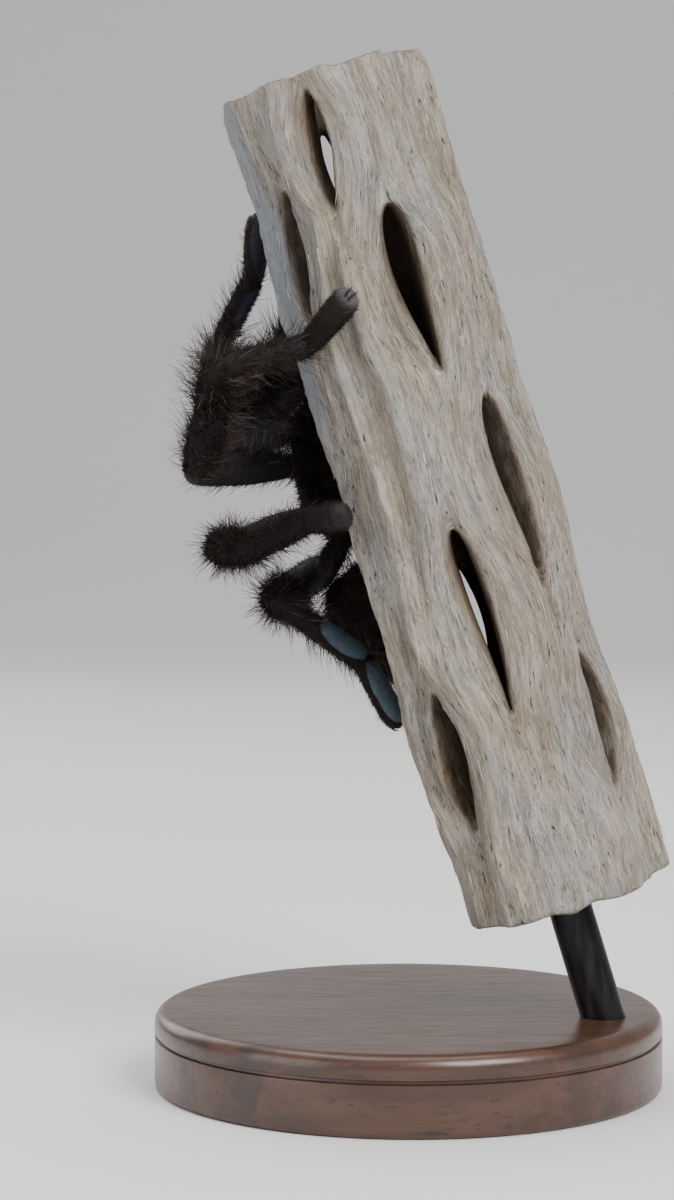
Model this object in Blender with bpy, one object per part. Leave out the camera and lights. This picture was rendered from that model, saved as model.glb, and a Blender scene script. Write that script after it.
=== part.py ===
"""Pink toe tarantula gripping a cut length of hollow cactus wood.

A still, life-size display model: an adult female clings head-up to the back
of a leaning branch, its right legs reaching round to the front, on a plain
turned base with one rod.

Frame: metres, +Z up, origin at the centre of the base's underside.
The front of the model is -Y, and the spider is behind the branch, at +Y.
All named sizes below are in millimetres.
"""
import bpy
import bmesh
import math
from mathutils import Vector

MM = 0.001
TAU = 2.0 * math.pi
GAP = 0.3                        # clearance between neighbouring pieces


def rad(a):
    return math.radians(a)


# ------------------------------------------------------------------ stand
BASE_RADIUS = 26.0
BASE_HEIGHT = 8.0
BASE_EDGE = 1.4                  # rounding of the base's rims
ROD_RADIUS = 2.2
PLUG_RADIUS = 4.4                # turned end inside the bore of the wood
PLUG_LENGTH = 7.0

# ------------------------------------------------------------------ perch
PERCH_TILT = 17.0                # lean of the branch, top towards -X
PERCH_RADIUS = 11.05             # outside, to the mean of the ribs
PERCH_BORE = 4.9
PERCH_TOP = -44.0                # ends, measured down the branch
PERCH_END = 42.0
PERCH_SIDES = 20
PERCH_RINGS = 6
BORE_SIDES = 10

# Eyelet openings in the wood: (distance down the branch, angle round it
# from the front towards +X, length, width)
FRONT_EYELETS = [
    (-36.0, -14, 12, 2.6), (-27.1, -54, 13, 2.4), (-20.8, 13, 17, 3.4),
    (1.0, 41, 20, 2.8), (12.1, 0, 19, 2.6), (24.7, 57, 14, 3.0),
    (24.7, -45, 14.5, 2.4),
]
# Round the back the eyelets keep to staggered columns
BACK_COLUMNS = [(96, -30.0), (139, -18.5), (182, -32.5), (-135, -18.0), (-92, -32.5)]
BACK_PITCH = 23.0                # from one eyelet to the next in a column
BACK_SIZE = (14.0, 3.1)

# ------------------------------------------------------------------ body
STANDOFF = 16.8                  # middle of the prosoma from the branch axis
ROLL = 25.0                      # of the body round the branch, towards -X
BODY_ALONG = -5.8                # middle of the prosoma, down the branch
CARAPACE_LENGTH = 17.0
CARAPACE_WIDTH = 15.0
CARAPACE_FLOOR = 0.75            # underside of the carapace above the hips
ABDOMEN_LENGTH = 15.4
ABDOMEN_WIDTH = 12.9
ABDOMEN_HEIGHT = 12.4
ABDOMEN_SWING = (-3.2, 2.4)      # sideways set of its front and its tail end
ABDOMEN_LIFT = (0.9, 3.2)        # height of its front and its tail end
CHELICERA_LENGTH = 6.6
FANG_LENGTH = 4.4
EYE_RADIUS = 0.36

# ------------------------------------------------------------------ limbs
# Segment lengths: femur, patella, tibia, metatarsus, tarsus
LEG_LENGTHS = {
    1: (13.8, 8.5, 10.6, 9.6, 7.5),
    2: (12.8, 7.9, 9.6, 9.2, 7.3),
    3: (11.2, 6.9, 8.0, 9.6, 7.2),
    4: (13.6, 7.6, 10.8, 11.0, 7.7),
}
# Segment lengths: femur, patella, tibia, tarsus
PALP_LENGTHS = (10.6, 6.4, 7.5, 6.9)

# Half-thickness of each segment at its start, middle and end, coat included
LEG_GIRTH = (
    (1.55, 1.90, 1.75),          # femur
    (1.70, 1.90, 1.70),          # patella
    (1.65, 1.72, 1.40),          # tibia
    (1.20, 1.26, 1.26),          # metatarsus
    (1.10, 1.38, 1.34),          # tarsus
)
PALP_GIRTH = (
    (1.20, 1.35, 1.30),
    (1.30, 1.45, 1.35),
    (1.35, 1.45, 1.20),
    (1.15, 1.38, 1.20),
)
LEG_SCALE = {1: 1.0, 2: 0.97, 3: 1.0, 4: 1.04}

# Where each hip sits on the prosoma: (forward, to the side, up), and where
# its coxa starts beside the sternum
HIPS = {1: (5.6, 6.8, -1.1), 2: (1.9, 8.3, -1.2), 3: (-3.7, 8.4, -1.2),
        4: (-9.1, 7.4, -1.1), 'palp': (9.4, 4.5, -1.2)}
COXA_START = {1: (3.3, 2.6, -1.3), 2: (0.9, 3.4, -1.3), 3: (-1.7, 3.4, -1.3),
              4: (-4.3, 2.6, -1.3), 'palp': (5.4, 1.45, -1.3)}
COXA_GIRTH = {1: (0.95, 1.35), 2: (1.05, 1.5), 3: (1.05, 1.5), 4: (0.95, 1.5),
              'palp': (0.85, 1.15)}

# Pose: the heading of each segment as (turn, rise) in degrees. Turn is 0 up
# the branch and 90 towards +X; rise is away from the front, towards +Y.
POSE = {
    'leg_right_1': [(-86, 42), (51, -6), (-31, -69), (46, -24), (22, 26)],
    'leg_right_2': [(-75, -45), (32, -40), (29, -64), (93, 14), (58, -26)],
    'leg_right_3': [(-97, 46), (-69, -74), (108, -64), (79, -47), (95, -55)],
    'leg_right_4': [(-110, 72), (-121, -77), (-35, -84), (143, 5), (167, 5)],
    'leg_left_1': [(56, 78), (54, -43), (26, -38), (-6, -47), (-5, -16)],
    'leg_left_2': [(68, 55), (26, -52), (-171, -68), (0, -13), (-9, -7)],
    'leg_left_3': [(109, 48), (146, -61), (-38, -81), (178, -13), (-179, -11)],
    'leg_left_4': [(141, 44), (154, -3), (-180, -73), (-180, -33), (-179, -8)],
    'palp_right': [(-116, 52), (43, -46), (32, -41), (33, 0)],
    'palp_left': [(1, 66), (45, -28), (12, -38), (4, -38)],
}
LIMB_SIDES = 8

# ------------------------------------------------------------------ axes
DOWN = Vector((math.sin(rad(PERCH_TILT)), 0.0, -math.cos(rad(PERCH_TILT))))
UP = -DOWN
SIDE = Vector((math.cos(rad(PERCH_TILT)), 0.0, math.sin(rad(PERCH_TILT))))
BACK = Vector((0.0, 1.0, 0.0))
PERCH_ORIGIN = Vector((3.6, -6.0, 60.0))

DORSAL = BACK * math.cos(rad(ROLL)) - SIDE * math.sin(rad(ROLL))
LEFT = DORSAL.cross(UP)
BODY = PERCH_ORIGIN + DOWN * BODY_ALONG + DORSAL * STANDOFF


def perch_point(along, angle, radius):
    """A point at this distance down the branch and angle round it."""
    a = rad(angle)
    return PERCH_ORIGIN + DOWN * along + (SIDE * math.sin(a) - BACK * math.cos(a)) * radius


def body_point(forward, left, up):
    return BODY + UP * forward + LEFT * left + DORSAL * up


def off_axis(p):
    """Direction from the branch axis out to a point."""
    q = p - PERCH_ORIGIN
    q = q - DOWN * q.dot(DOWN)
    return q.normalized()


def heading(turn, rise):
    t, r = rad(turn), rad(rise)
    return (UP * math.cos(t) + SIDE * math.sin(t)) * math.cos(r) + BACK * math.sin(r)


# ------------------------------------------------------------------ scene
for old in list(bpy.data.objects):
    bpy.data.objects.remove(old, do_unlink=True)


def material(name, color, roughness, metallic=0.0):
    m = bpy.data.materials.get(name)
    if m is None:
        m = bpy.data.materials.new(name)
        m.use_nodes = True
        s = m.node_tree.nodes["Principled BSDF"]
        s.inputs["Base Color"].default_value = (*color, 1.0)
        s.inputs["Roughness"].default_value = roughness
        s.inputs["Metallic"].default_value = metallic
        m.diffuse_color = (*color, 1.0)
    return m


COAT = ("coat_black_brown", (0.016, 0.013, 0.012), 0.75)
BRONZE = ("carapace_bronze", (0.035, 0.027, 0.022), 0.5)
PLUSH = ("abdomen_plush", (0.022, 0.013, 0.010), 0.85)
EYE = ("eye_dark", (0.01, 0.01, 0.012), 0.1)
HORN = ("fang_horn", (0.012, 0.008, 0.007), 0.2)
WOOD = ("cactus_wood", (0.33, 0.29, 0.24), 0.85)
BASE = ("base_dark_wood", (0.06, 0.035, 0.022), 0.45)
STEEL = ("rod_black_metal", (0.05, 0.05, 0.052), 0.35, 1.0)


def new_object(name, bm, look, smooth=True):
    bmesh.ops.recalc_face_normals(bm, faces=bm.faces)
    mesh = bpy.data.meshes.new(name)
    bm.to_mesh(mesh)
    bm.free()
    if smooth:
        mesh.shade_smooth()
        mesh.set_sharp_from_angle(angle=rad(50))
    mesh.materials.append(material(*look))
    ob = bpy.data.objects.new(name, mesh)
    bpy.context.scene.collection.objects.link(ob)
    return ob


def loft(bm, rings, start_pole=None, end_pole=None):
    """Skin a list of equal rings, closing each end with a point or a face."""
    rows = [[bm.verts.new(p * MM) for p in ring] for ring in rings]
    n = len(rows[0])
    for a, b in zip(rows, rows[1:]):
        for k in range(n):
            bm.faces.new((a[k], a[(k + 1) % n], b[(k + 1) % n], b[k]))
    for row, pole, flip in ((rows[0], start_pole, True), (rows[-1], end_pole, False)):
        if pole is None:
            bm.faces.new(row[::-1] if flip else row)
        else:
            tip = bm.verts.new(pole * MM)
            for k in range(n):
                f = (row[k], row[(k + 1) % n], tip)
                bm.faces.new(f[::-1] if flip else f)


def join_to(piece, guide):
    """Grow a piece by a hidden guide, as one body."""
    guide.hide_render = True
    guide.display_type = 'WIRE'
    join = piece.modifiers.new("join", 'BOOLEAN')
    join.operation = 'UNION'
    join.solver = 'EXACT'
    join.object = guide


def turned(name, origin, axis, profile, sides, look):
    """A turned piece: profile is a list of (radius, height along the axis)."""
    u = axis.orthogonal().normalized()
    v = axis.cross(u)
    bm = bmesh.new()
    rings = [[origin + axis * h + (u * math.cos(TAU * k / sides) + v * math.sin(TAU * k / sides)) * r
              for k in range(sides)] for r, h in profile]
    loft(bm, rings)
    return new_object(name, bm, look)


def blend3(values, t):
    """A smooth value through start, middle and end."""
    a, b, c = values
    return a * (1 - t) * (1 - 2 * t) + b * 4 * t * (1 - t) + c * t * (2 * t - 1)


# ------------------------------------------------------------------ limbs
def limb_path(points, girth_at, fractions=(0.0, 0.5, 1.0)):
    """Stations down a jointed limb, with a rounded turn at each joint.

    Each station is (position, tangent, half-thickness, segment)."""
    n = len(points) - 1
    dirs = [(points[i + 1] - points[i]).normalized() for i in range(n)]
    lens = [(points[i + 1] - points[i]).length for i in range(n)]
    trims = [0.0] * (n + 1)
    for i in range(1, n):
        bend = dirs[i - 1].angle(dirs[i])
        turn_radius = girth_at(i, 0.0) + 0.3
        trims[i] = min(turn_radius * math.tan(bend / 2), 0.42 * min(lens[i - 1], lens[i]))
    stations = []
    for i in range(n):
        start, stop = trims[i], lens[i] - trims[i + 1]
        for f in fractions:
            if (f == 0.0 and i > 0) or (f == 1.0 and i < n - 1):
                continue
            d = start + (stop - start) * f
            stations.append((points[i] + dirs[i] * d, dirs[i], girth_at(i, d / lens[i]), i))
        if i < n - 1:
            u, v = dirs[i], dirs[i + 1]
            bend = u.angle(v)
            if bend < rad(4):
                stations.append((points[i + 1], u, girth_at(i, 1.0), i))
                continue
            inward = (v - u * math.cos(bend)).normalized()
            radius = trims[i + 1] / math.tan(bend / 2)
            centre = points[i + 1] - u * trims[i + 1] + inward * radius
            steps = max(1, round(bend / rad(28)))
            for k in range(steps + 1):
                a = bend * k / steps
                p = centre - inward * radius * math.cos(a) + u * radius * math.sin(a)
                t = u * math.cos(a) + inward * math.sin(a)
                g = (girth_at(i, 1.0) * (steps - k) + girth_at(i + 1, 0.0) * k) / steps
                stations.append((p, t, g, i if k * 2 < steps else i + 1))
    return stations


def limb_rings(stations, flatten, sides=LIMB_SIDES):
    """Rings round the stations; flatten(segment, point) gives (up, width, height)."""
    rings = []
    ref = stations[0][1].orthogonal().normalized()
    for p, t, g, i in stations:
        ref = (ref - t * ref.dot(t)).normalized()
        other = t.cross(ref)
        up, width, height = flatten(i, p)
        up = (up - t * up.dot(t)).normalized()
        across = t.cross(up)
        ring = []
        for k in range(sides):
            a = TAU * k / sides
            e = ref * math.cos(a) + other * math.sin(a)
            r = g / math.sqrt((e.dot(across) / width) ** 2 + (e.dot(up) / height) ** 2)
            ring.append(p + e * r)
        rings.append(ring)
    return rings


def dome(ring, centre, direction, depth, steps=(0.45, 0.8)):
    """Rings that close a limb with a rounded end, and its pole."""
    out = []
    for s in steps:
        k = math.sqrt(1.0 - s * s)
        out.append([centre + (p - centre) * k + direction * depth * s for p in ring])
    return out, centre + direction * depth


def make_limb(name, key, side, lengths, girth, scale, look):
    """One leg or palp, from beside the sternum to the tip of the toe.

    It is built as two tubes, coxa with femur and knee to toe, joined in one
    body at the knee, because the knees are folded sharply."""
    fwd, lat, up = HIPS[key]
    hip = body_point(fwd, lat * side, up)
    fwd, lat, up = COXA_START[key]
    start = body_point(fwd, lat * side, up)
    points = [hip]
    for (turn, rise), length in zip(POSE[name], lengths):
        points.append(points[-1] + heading(turn, rise) * length)
    knee = points[1]

    # coxa, trochanter and femur
    coxa = COXA_GIRTH[key]

    def upper_girth(i, t):
        if i == 0:
            return coxa[0] + (coxa[1] - coxa[0]) * t
        return blend3(girth[0], t) * scale * (0.88 + 0.12 * min(1.0, t * 2.5))

    st = limb_path([start, hip, knee], upper_girth, (0.0, 0.4, 0.75, 1.0))
    rings = limb_rings(st, lambda i, p: (DORSAL, 1.0, 1.3 if i == 0 and (p - start).length < 1.0 else 1.12 if i == 0 else 1.0))
    tops, pole = dome(rings[-1], st[-1][0], st[-1][1], st[-1][2] * 0.9)
    bm = bmesh.new()
    loft(bm, rings + tops, None, pole)
    upper = new_object(name, bm, look)

    # patella to toe
    last = len(lengths) - 2

    def lower_girth(i, t):
        g = blend3(girth[i + 1], min(1.0, t)) * scale
        if i == last:
            g *= 1.0 - 0.12 * max(0.0, t - 0.85) / 0.15
        return g

    def lower_shape(i, p):
        if i == last:
            return off_axis(p), 1.16, 0.90
        if i == last - 1:
            return off_axis(p), 1.06, 0.94
        return off_axis(p), 1.0, 1.0

    st = limb_path(points[1:], lower_girth)
    # the toe's rounded end lies inside the last segment's length
    p, t, g, i = st[-1]
    st[-1] = (p - t * g * 0.6, t, g, i)
    rings = limb_rings(st, lower_shape)
    first, start_pole = dome(rings[0], st[0][0], -st[0][1], st[0][2] * 0.85, (0.5, 0.84))
    tips, end_pole = dome(rings[-1], st[-1][0], st[-1][1], g * 0.6, (0.5, 0.85))
    bm = bmesh.new()
    loft(bm, first[::-1] + rings + tips, start_pole, end_pole)
    shank = new_object("guide_" + name, bm, look)
    join_to(upper, shank)
    return upper


for n in (1, 2, 3, 4):
    for word, side in (("right", -1), ("left", 1)):
        make_limb(f"leg_{word}_{n}", n, side, LEG_LENGTHS[n], LEG_GIRTH, LEG_SCALE[n], COAT)
for word, side in (("right", -1), ("left", 1)):
    make_limb(f"palp_{word}", 'palp', side, PALP_LENGTHS, PALP_GIRTH, 1.0, COAT)


# ------------------------------------------------------------------ body
def body_loft(name, sections, look, sides=16, start_pole=None, end_pole=None):
    """Cross-sections across the body: (forward, left, up, half-width, top, bottom, squareness)."""
    bm = bmesh.new()
    rings = []
    for f, l, u, w, top, bottom, square in sections:
        ring = []
        for k in range(sides):
            a = TAU * k / sides
            c, s = math.cos(a), math.sin(a)
            x = math.copysign(abs(c) ** square, c) * w
            z = math.copysign(abs(s) ** square, s) * (top if s > 0 else bottom)
            ring.append(body_point(f, l + x, u + z))
        rings.append(ring)
    loft(bm, rings, start_pole, end_pole)
    return new_object(name, bm, look)


def carapace_half_width(t):
    """Half-width of the carapace at t, from 0 at the rear to 1 at the front."""
    thorax = math.sqrt(max(0.0, 1 - ((t - 0.42) / 0.44) ** 2)) if t < 0.42 else 1.0
    taper = 1.0 if t < 0.42 else 1.0 - 0.40 * ((t - 0.42) / 0.58) ** 1.7
    front = math.sqrt(max(0.0, 1 - max(0.0, (t - 0.86) / 0.145) ** 2))
    return CARAPACE_WIDTH / 2 * thorax * taper * front


def carapace_height(t):
    """Height of the carapace: low thorax, raised head, a dip at the fovea."""
    rise = 3.3 + 1.1 * max(0.0, min(1.0, (t - 0.42) / 0.3))
    rear = math.sqrt(max(0.0, 1 - max(0.0, (0.34 - t) / 0.37) ** 2))
    front = math.sqrt(max(0.0, 1 - max(0.0, (t - 0.84) / 0.2) ** 2))
    return rise * rear * front - 0.35 * math.exp(-((t - 0.42) / 0.05) ** 2)


sections = []
for t in (0.01, 0.05, 0.12, 0.22, 0.33, 0.42, 0.52, 0.63, 0.74, 0.84, 0.92, 0.98):
    f = (t - 0.5) * CARAPACE_LENGTH
    sections.append((f, 0.0, CARAPACE_FLOOR, carapace_half_width(t), carapace_height(t), 0.25, 0.8))
carapace = body_loft("carapace", sections, BRONZE, 18)

# sternum, with the labium as its narrow front end
sections = []
for f, w in ((-4.6, 0.7), (-4.1, 1.7), (-2.8, 2.55), (-1.0, 2.9), (1.0, 2.9), (2.6, 2.35),
             (3.6, 1.5), (4.9, 0.75)):
    sections.append((f, 0.0, -1.9, w, 1.2, 1.0, 0.85))
body_loft("sternum", sections, COAT, 10)

# chelicerae: stout, side by side, arching forward and down from the head
for word, side in (("right", -1), ("left", 1)):
    start = CARAPACE_LENGTH / 2 - 0.3 + GAP
    sections = []
    for t, g in ((0.0, 0.70), (0.12, 0.86), (0.35, 1.0), (0.6, 0.98), (0.8, 0.86), (0.93, 0.62), (1.0, 0.35)):
        f = start + CHELICERA_LENGTH * t
        up = 2.55 - 0.2 * t - 1.5 * t * t
        sections.append((f, side * 1.72, up, 1.56 * g, 1.75 * g, 1.85 * g, 0.9))
    body_loft(f"chelicera_{word}", sections, COAT, 12)
    # fang: hinged at the tip of the chelicera and folded back beneath it
    bm = bmesh.new()
    rings = []
    steps = 6
    for k in range(steps + 1):
        t = k / steps
        a = rad(-35 + 100 * t)
        reach = FANG_LENGTH / 1.75
        c = body_point(start + CHELICERA_LENGTH - 0.9 - reach * (1 + math.sin(a)) + 0.9,
                       side * (1.72 - 0.5 * t), -0.35 - 0.9 * math.cos(a) * 1.25)
        d = (UP * -math.cos(a) * reach + DORSAL * math.sin(a) * 1.1).normalized()
        r = 0.62 - 0.36 * t
        x = d.cross(LEFT).normalized()
        y = d.cross(x)
        rings.append([c + (x * math.cos(TAU * j / 8) + y * math.sin(TAU * j / 8)) * r for j in range(8)])
    loft(bm, rings)
    new_object(f"fang_{word}", bm, HORN)

# ocular tubercle, raised from the carapace, and the eight eyes round it
TUBERCLE = (CARAPACE_LENGTH / 2 - 1.9, 0.0)
top = CARAPACE_FLOOR + carapace_height(0.5 + TUBERCLE[0] / CARAPACE_LENGTH) + GAP + 0.15
sections = [(TUBERCLE[0] + df, 0.0, top - 0.6, w, h + 0.6, 0.5, 0.9)
            for df, w, h in ((-0.75, 0.35, 0.25), (-0.45, 0.7, 0.5), (0.0, 0.85, 0.6), (0.45, 0.7, 0.5), (0.75, 0.35, 0.25))]
join_to(carapace, body_loft("guide_tubercle", sections, BRONZE, 10))
for word, side in (("right", -1), ("left", 1)):
    for name, f, l, u, r in (("anterior_median", 0.35, 0.42, 1.25, 1.0),
                             ("anterior_lateral", 1.25, 1.35, 0.25, 0.95),
                             ("posterior_lateral", -0.35, 1.62, 0.42, 0.85),
                             ("posterior_median", -0.75, 0.85, 1.05, 0.75)):
        bm = bmesh.new()
        bmesh.ops.create_uvsphere(bm, u_segments=8, v_segments=5, radius=EYE_RADIUS * r * MM)
        bmesh.ops.translate(bm, verts=bm.verts, vec=body_point(TUBERCLE[0] + f, side * l, top + u) * MM)
        new_object(f"eye_{name}_{word}", bm, EYE)

# pedicel, abdomen and spinnerets
ABDOMEN_FRONT = -CARAPACE_LENGTH / 2 - 1.1
sections = []
for f, u, w in ((-CARAPACE_LENGTH / 2 + 0.15 - 2 * GAP, -0.9, 1.0), (ABDOMEN_FRONT + 0.55, -0.75, 1.15), (ABDOMEN_FRONT - 1.6, -0.4, 0.9)):
    sections.append((f, 0.0, u, w, w, w, 1.0))
pedicel = body_loft("guide_pedicel", sections, PLUSH, 8)
sections = []
for t in (0.0, 0.035, 0.1, 0.2, 0.32, 0.45, 0.58, 0.7, 0.8, 0.88, 0.945, 0.985):
    f = ABDOMEN_FRONT - GAP - 0.1 - ABDOMEN_LENGTH * t
    g = (math.sin(math.pi * (0.06 + 0.91 * t) ** 0.84)) ** 0.6
    u = ABDOMEN_LIFT[0] * (1 - t) + ABDOMEN_LIFT[1] * t + 0.8 * math.sin(math.pi * t)
    swing = (ABDOMEN_SWING[0] * (1 - t) + ABDOMEN_SWING[1] * t) * min(1.0, 0.2 + t * 8)
    sections.append((f, swing, u, ABDOMEN_WIDTH / 2 * g, ABDOMEN_HEIGHT / 2 * g * 1.04, ABDOMEN_HEIGHT / 2 * g * 0.96, 1.0))
join_to(body_loft("abdomen", sections, PLUSH, 16), pedicel)
END = ABDOMEN_FRONT - GAP - 0.1 - ABDOMEN_LENGTH * 0.985
for word, side in (("right", -1), ("left", 1)):
    bm = bmesh.new()
    rings = []
    for t, r in ((0.0, 0.62), (0.3, 0.68), (0.36, 0.56), (0.66, 0.6), (0.72, 0.45), (1.0, 0.28)):
        c = body_point(END - GAP - 0.15 - 3.4 * t, ABDOMEN_SWING[1] + side * (0.95 + 0.7 * t) + 0.9 * t, ABDOMEN_LIFT[1] - 0.9 + 0.9 * t)
        d = (-UP * 3.4 + LEFT * (side * 0.7 + 0.9) + DORSAL * 0.9).normalized()
        x = d.cross(LEFT).normalized()
        y = d.cross(x)
        rings.append([c + (x * math.cos(TAU * j / 8) + y * math.sin(TAU * j / 8)) * r for j in range(8)])
    loft(bm, rings)
    new_object(f"spinneret_{word}", bm, COAT)

# ------------------------------------------------------------------ perch
def perch_outside(along, angle):
    """Outer radius: shallow ribs that wander round the branch."""
    return PERCH_RADIUS + 0.16 * math.sin(rad(6 * angle) + along * 0.13) + 0.1 * math.sin(along * 0.21 + rad(2 * angle))


bm = bmesh.new()
outer, inner = [], []
for j in range(PERCH_RINGS):
    s = PERCH_TOP + (PERCH_END - PERCH_TOP) * j / (PERCH_RINGS - 1)
    outer.append([bm.verts.new(perch_point(s, 360 * k / PERCH_SIDES, perch_outside(s, 360 * k / PERCH_SIDES)) * MM)
                  for k in range(PERCH_SIDES)])
for s in (PERCH_TOP, (PERCH_TOP + PERCH_END) / 2, PERCH_END):
    inner.append([bm.verts.new(perch_point(s, 360 * k / BORE_SIDES, PERCH_BORE) * MM) for k in range(BORE_SIDES)])
for rows in (outer, inner):
    n = len(rows[0])
    for a, b in zip(rows, rows[1:]):
        for k in range(n):
            bm.faces.new((a[k], a[(k + 1) % n], b[(k + 1) % n], b[k]))
for a, b in ((outer[0], inner[0]), (outer[-1], inner[-1])):
    # two outer edges to each edge of the bore
    for k in range(BORE_SIDES):
        o0, o1, o2 = a[2 * k], a[2 * k + 1], a[(2 * k + 2) % PERCH_SIDES]
        i0, i1 = b[k], b[(k + 1) % BORE_SIDES]
        bm.faces.new((o0, o1, i0))
        bm.faces.new((o1, o2, i1))
        bm.faces.new((o1, i1, i0))
perch = new_object("perch", bm, WOOD)

eyelets = list(FRONT_EYELETS)
for angle, first in BACK_COLUMNS:
    for k in range(3):
        s = first + k * BACK_PITCH
        if s < 31:
            eyelets.append((s, angle, *BACK_SIZE))
bm = bmesh.new()
for s, angle, length, width in eyelets:
    rows = []
    for r in (PERCH_BORE - 1.6, PERCH_RADIUS + 2.5):
        row = []
        for k in range(8):
            a = TAU * k / 8
            along = s + length / 2 * math.cos(a)
            turn = angle + math.degrees(width / 2 * math.sin(a) / PERCH_RADIUS)
            row.append(perch_point(along, turn, r))
        rows.append(row)
    loft(bm, rows)
cutter = new_object("guide_eyelets", bm, WOOD, smooth=False)
cutter.hide_render = True
cutter.display_type = 'WIRE'
cut = perch.modifiers.new("eyelets", 'BOOLEAN')
cut.operation = 'DIFFERENCE'
cut.solver = 'EXACT'
cut.object = cutter

# ------------------------------------------------------------------ stand
turned("stand_base", Vector((0, 0, 0)), Vector((0, 0, 1)),
       [(BASE_RADIUS - 0.6, 0.0), (BASE_RADIUS, 0.6), (BASE_RADIUS, BASE_HEIGHT - BASE_EDGE),
        (BASE_RADIUS - 0.35 * BASE_EDGE, BASE_HEIGHT - 0.35 * BASE_EDGE),
        (BASE_RADIUS - BASE_EDGE, BASE_HEIGHT)], 40, BASE)

# the rod runs up the branch's own axis, from a level foot on the base
foot_z = BASE_HEIGHT + GAP
sides = 16
u, v = SIDE, BACK


def rod_ring(radius, along):
    return [PERCH_ORIGIN + DOWN * along + (u * math.cos(TAU * k / sides) + v * math.sin(TAU * k / sides)) * radius
            for k in range(sides)]


foot = []
for k in range(sides):
    p = PERCH_ORIGIN + (u * math.cos(TAU * k / sides) + v * math.sin(TAU * k / sides)) * ROD_RADIUS
    foot.append(p + DOWN * ((p.z - foot_z) / -DOWN.z))
bm = bmesh.new()
plug_start = PERCH_END - PLUG_LENGTH
loft(bm, [foot, rod_ring(ROD_RADIUS, PERCH_END + 1.0), rod_ring(PLUG_RADIUS, PERCH_END + 0.999),
          rod_ring(PLUG_RADIUS, plug_start + 0.6), rod_ring(PLUG_RADIUS - 0.6, plug_start)])
new_object("stand_rod", bm, STEEL)
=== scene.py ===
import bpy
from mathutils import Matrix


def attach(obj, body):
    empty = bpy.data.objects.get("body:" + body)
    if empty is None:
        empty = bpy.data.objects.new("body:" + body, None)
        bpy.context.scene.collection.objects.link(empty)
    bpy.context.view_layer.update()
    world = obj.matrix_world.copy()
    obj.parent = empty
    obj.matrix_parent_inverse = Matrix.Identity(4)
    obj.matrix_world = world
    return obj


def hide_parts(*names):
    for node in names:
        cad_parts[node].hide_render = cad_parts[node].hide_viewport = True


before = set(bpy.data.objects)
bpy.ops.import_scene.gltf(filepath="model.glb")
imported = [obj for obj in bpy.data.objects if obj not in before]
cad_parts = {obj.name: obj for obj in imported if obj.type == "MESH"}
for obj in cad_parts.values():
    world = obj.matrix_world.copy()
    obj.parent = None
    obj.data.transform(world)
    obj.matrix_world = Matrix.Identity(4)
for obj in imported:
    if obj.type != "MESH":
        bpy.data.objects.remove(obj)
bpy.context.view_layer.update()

"""Looks of the pink toe tarantula on its length of hollow cactus wood.

The named sizes are in millimetres and are the same as the solids' ones. The
flesh is one skin, taken from a distance field of all the limbs and body
parts; the coat is solid tufts rooted on that skin; the wood is a distance
field too, with its fibres running round each eyelet.
"""
import math
import bpy
import numpy as np
from mathutils import Vector

MM = 0.001
TAU = 2.0 * math.pi
rng = np.random.default_rng(20981)


def rad(a):
    return math.radians(a)


# ------------------------------------------------------------------ sizes
BASE_RADIUS, BASE_HEIGHT, BASE_EDGE = 26.0, 8.0, 1.4
ROD_RADIUS, PLUG_RADIUS, PLUG_LENGTH = 2.2, 4.4, 7.0
PERCH_TILT, PERCH_RADIUS, PERCH_BORE = 17.0, 11.05, 4.9
PERCH_TOP, PERCH_END = -44.0, 42.0
FRONT_EYELETS = [
    (-36.0, -14, 12, 2.6), (-27.1, -54, 13, 2.4), (-20.8, 13, 17, 3.4),
    (1.0, 41, 20, 2.8), (12.1, 0, 19, 2.6), (24.7, 57, 14, 3.0),
    (24.7, -45, 14.5, 2.4),
]
BACK_COLUMNS = [(96, -30.0), (139, -18.5), (182, -32.5), (-135, -18.0), (-92, -32.5)]
BACK_PITCH, BACK_SIZE = 23.0, (14.0, 3.1)

STANDOFF, ROLL, BODY_ALONG = 16.8, 25.0, -5.8
CARAPACE_LENGTH, CARAPACE_WIDTH, CARAPACE_FLOOR = 17.0, 15.0, 0.75
ABDOMEN_LENGTH, ABDOMEN_WIDTH, ABDOMEN_HEIGHT = 15.4, 12.9, 12.4
ABDOMEN_SWING = (-3.2, 2.4)
ABDOMEN_LIFT = (0.9, 3.2)
CHELICERA_LENGTH, FANG_LENGTH, EYE_RADIUS = 6.6, 4.4, 0.36
GAP = 0.3

LEG_LENGTHS = {
    1: (13.8, 8.5, 10.6, 9.6, 7.5),
    2: (12.8, 7.9, 9.6, 9.2, 7.3),
    3: (11.2, 6.9, 8.0, 9.6, 7.2),
    4: (13.6, 7.6, 10.8, 11.0, 7.7),
}
PALP_LENGTHS = (10.6, 6.4, 7.5, 6.9)
LEG_GIRTH = ((1.55, 1.90, 1.75), (1.70, 1.90, 1.70), (1.65, 1.72, 1.40), (1.20, 1.26, 1.26), (1.10, 1.38, 1.34))
PALP_GIRTH = ((1.20, 1.35, 1.30), (1.30, 1.45, 1.35), (1.35, 1.45, 1.20), (1.15, 1.38, 1.20))
LEG_SCALE = {1: 1.0, 2: 0.97, 3: 1.0, 4: 1.04}
HIPS = {1: (5.6, 6.8, -1.1), 2: (1.9, 8.3, -1.2), 3: (-3.7, 8.4, -1.2),
        4: (-9.1, 7.4, -1.1), 'palp': (9.4, 4.5, -1.2)}
COXA_START = {1: (3.3, 2.6, -1.3), 2: (0.9, 3.4, -1.3), 3: (-1.7, 3.4, -1.3),
              4: (-4.3, 2.6, -1.3), 'palp': (5.4, 1.45, -1.3)}
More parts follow.
